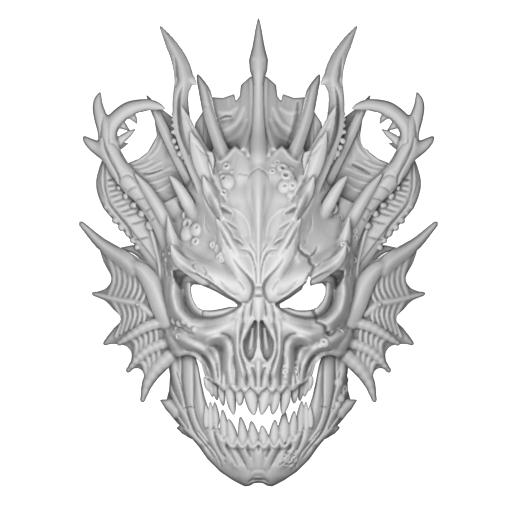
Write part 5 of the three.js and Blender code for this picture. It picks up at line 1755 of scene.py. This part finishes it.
mesh = field_mesh(whole, "skull_mask_form")
if signed_volume(mesh) < 0:
    mesh.flip_normals()
mask = bpy.data.objects.new("skull_mask_cast", mesh)
bpy.context.collection.objects.link(mask)
thin = mask.modifiers.new("thin", "DECIMATE")
thin.ratio = min(1.0, MOST_TRIANGLES / len(corner_rows(mesh)))
finished = bpy.data.meshes.new_from_object(mask.evaluated_get(bpy.context.evaluated_depsgraph_get()))
mask.modifiers.clear()
mask.data = finished
finished.polygons.foreach_set("use_smooth", [True] * len(finished.polygons))

# How sunk or raised each place is, so that recesses get a little more painted shade than crests,
# which stand out lighter as a painted highlight.
# The mean of the filled space is taken within two reaches in mm, under the front and in the form itself.
RECESS_REACHES = (1.6, 5.6)
RECESS_CONTRAST = 1.6
# A face counts as front more and more as its normal turns forward.
FRONT_CONTRAST = 3
# Beside the mask, the front counts as high as it is within this reach in mm.
COVER_REACH = 5.0
# Painted shade darkens the cracks, fully at a depth in mm, and the fins, which lean away from the light:
# from a distance out and below a height, each with the stretch over which it fades, in metres.
CRACK_SHADE = 0.3
CRACK_SHADE_DEPTH = 5
FIN_SHADE = 0.34
FIN_FROM, FIN_FADE_OUT = 0.088, 0.02
FIN_BELOW, FIN_FADE_UP = 0.02, 0.03
low_corner, high_corner = (np.array(corner) for corner in cad_box)
corners = np.clip(vertex_places(finished), low_corner, high_corner)
finished.vertices.foreach_set("co", corners.ravel())
cover = heights_of_front()
cover = np.where(cover > 0, cover, -lowest_nearby(-cover, COVER_REACH))
recesses = []
for filled in (cover[:, :, None] - DEEP, -whole):
    filled = np.clip(0.5 + filled / STEP, 0, 1).astype(np.float32)
    for reach in RECESS_REACHES:
        recesses.append(sampled(mean_nearby(filled, steps_of(reach)), corners * 1000) - 0.5)
facings = np.empty(len(finished.vertices) * 3)
finished.vertices.foreach_get("normal", facings)
from_front = np.clip(0.5 + FRONT_CONTRAST * facings.reshape(-1, 3)[:, 2], 0, 1)
# Painted shade in recesses and a painted highlight on crests, near and broad.
fine_shade = recesses[0] * from_front + recesses[2] * (1 - from_front)
broad_shade = recesses[1] * from_front + recesses[3] * (1 - from_front)
column, row = np.round((corners * 1000 - ORIGIN) / STEP).astype(int)[:, :2].T
# Painted shade in the cracks.
fine_shade += CRACK_SHADE * np.clip(-cracks[column, row] / CRACK_SHADE_DEPTH, 0, 1) * from_front
# Painted shade on the fins, which lean away from the light.
outward = np.clip((np.abs(corners[:, 0]) - FIN_FROM) / FIN_FADE_OUT, 0, 1)
downward = np.clip((FIN_BELOW - corners[:, 1]) / FIN_FADE_UP, 0, 1)
broad_shade += FIN_SHADE * outward * downward
# The attributes carry the painted shade and highlight to the material.
for name, values in (("fine_recess", fine_shade), ("broad_recess", broad_shade)):
    layer = finished.attributes.new(name, "FLOAT", "POINT")
    layer.data.foreach_set("value", np.clip(0.5 + RECESS_CONTRAST * values, 0, 1))

# The casting's grey with painted light: lighter on what stands out, as a painted highlight, and darker as
# painted shade in recesses, cracks, fins and low places. The weights say how much a fine and a broad
# recess, a random mottle of the grey's own tone and each metre below the shade's level add to it.
LIT_GREY = (0.57, 0.575, 0.57, 1)
SHADED_GREY = (0.2, 0.205, 0.2, 1)
FINE_WEIGHT = 1.5
BROAD_WEIGHT = 0.8
MOTTLE_WEIGHT = 0.24
HEIGHT_WEIGHT = 1.6
SHADE_LEVEL = 0.085
DARK_SHARE_EVERYWHERE = 0.13
CAST_ROUGHNESS = 0.6
GRAIN_STRENGTH = 0.12
GRAIN_DEPTH = 0.0004
# Noises: scale and detail.
MOTTLE_NOISE = (60.0, 6.0)
GRAIN_NOISE = (900.0, 4.0)
NOISE_ROUGHNESS = 0.6


def cast_resin_look(material):
    """The grey casting with painted shade and highlight, a random mottle and its fine grain."""
    material.use_nodes = True
    tree = material.node_tree
    place = output(tree, "ShaderNodeTexCoord", name="Object")
    height = output(tree, "ShaderNodeSeparateXYZ", (), {"Vector": place}, "Z")

    def recess(name):
        """Painted shade from an attribute, more than nought where it darkens and less where it lightens."""
        return output(tree, "ShaderNodeAttribute", {"attribute_name": name}, name="Fac") - 0.5

    def noise(scale, detail):
        values = {"Vector": place, "Scale": scale, "Detail": detail, "Roughness": NOISE_ROUGHNESS}
        return output(tree, "ShaderNodeTexNoise", (), values, "Fac")

    # Painted shade in recesses, cracks and fins, and a painted highlight on crests, from the attributes.
    shade_and_mottle = FINE_WEIGHT * recess("fine_recess") + BROAD_WEIGHT * recess("broad_recess")
    shade_and_mottle = shade_and_mottle + MOTTLE_WEIGHT * (noise(*MOTTLE_NOISE) - 0.5)
    # Painted shade, darker the lower a place lies.
    shade_and_mottle = (shade_and_mottle + HEIGHT_WEIGHT * (SHADE_LEVEL - height) + DARK_SHARE_EVERYWHERE).held()
    # A lit and a shaded grey of the resin, mixed as painted light.
    greys = {0: shade_and_mottle, 6: LIT_GREY, 7: SHADED_GREY}
    colour = output(tree, "ShaderNodeMix", {"data_type": "RGBA"}, greys, 2)
    grain = {"Height": noise(*GRAIN_NOISE), "Strength": GRAIN_STRENGTH, "Distance": GRAIN_DEPTH}
    shader = tree.nodes["Principled BSDF"]
    shader.inputs["Roughness"].default_value = CAST_ROUGHNESS
    tree.links.new(colour.socket, shader.inputs["Base Color"])
    tree.links.new(output(tree, "ShaderNodeBump", (), grain).socket, shader.inputs["Normal"])


cast_resin_look(resin)
finished.materials.clear()
finished.materials.append(resin)

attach(mask, "root")
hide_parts("skull_mask")

# The floor, whose own light makes it as white as the photo's ground.
FLOOR_SIZE = 6
FLOOR_DROP = 0.0002
FLOOR_LOOK = {
    "Base Color": (0.8, 0.8, 0.8, 1),
    "Roughness": 0.9,
    "Emission Color": (1, 1, 1, 1),
    "Emission Strength": 1.1,
}


def pale_floor_look():
    pale = bpy.data.materials.new("pale floor")
    pale.use_nodes = True
    for name, value in FLOOR_LOOK.items():
        pale.node_tree.nodes["Principled BSDF"].inputs[name].default_value = value
    return pale


bpy.ops.mesh.primitive_plane_add(size=FLOOR_SIZE, location=(0, 0, -FLOOR_DROP))
floor = bpy.context.object
floor.name = "floor"
floor.data.materials.append(pale_floor_look())
floor.visible_diffuse = False
floor.visible_glossy = False

# The room's even light.
WORLD_STRENGTH = 0.25
world = bpy.data.worlds.new("studio")
world.use_nodes = True
world.node_tree.nodes["Background"].inputs["Color"].default_value = (1, 1, 1, 1)
world.node_tree.nodes["Background"].inputs["Strength"].default_value = WORLD_STRENGTH
bpy.context.scene.world = world
bpy.context.scene.view_settings.view_transform = "Standard"

# One soft lamp over the face, a little to the left.
LAMP_PLACE = Vector((-0.04, -0.005, 0.56))
LAMP_SIZE = 0.3
LAMP_POWER = 2.65
lamp_data = bpy.data.lights.new("front light", "AREA")
lamp_data.shape = "DISK"
lamp_data.size = LAMP_SIZE
lamp_data.energy = LAMP_POWER
lamp = bpy.data.objects.new("front light", lamp_data)
lamp.location = LAMP_PLACE
lamp.rotation_euler = (-LAMP_PLACE).to_track_quat("-Z", "Y").to_euler()
bpy.context.collection.objects.link(lamp)

# The camera, high above the mask, so that a unit of the drawing is a pixel at the sharp plane's height.
PICTURE = 516
CAMERA_HEIGHT = 12.0
SHARP_PLANE = 0.05
SENSOR_WIDTH = 36
camera_data = bpy.data.cameras.new("camera")
camera = bpy.data.objects.new("camera", camera_data)
bpy.context.collection.objects.link(camera)
camera_data.sensor_width = SENSOR_WIDTH
camera_data.lens = SENSOR_WIDTH * (CAMERA_HEIGHT - SHARP_PLANE) / (PICTURE * UNIT / 1000)
camera.location = (0, 0, CAMERA_HEIGHT)
# The drawing's middle is not the picture's middle.
camera_data.shift_x = (PICTURE / 2 - MIDDLE_H) / PICTURE
camera_data.shift_y = -(PICTURE / 2 - MIDDLE_V) / PICTURE
bpy.context.scene.camera = camera
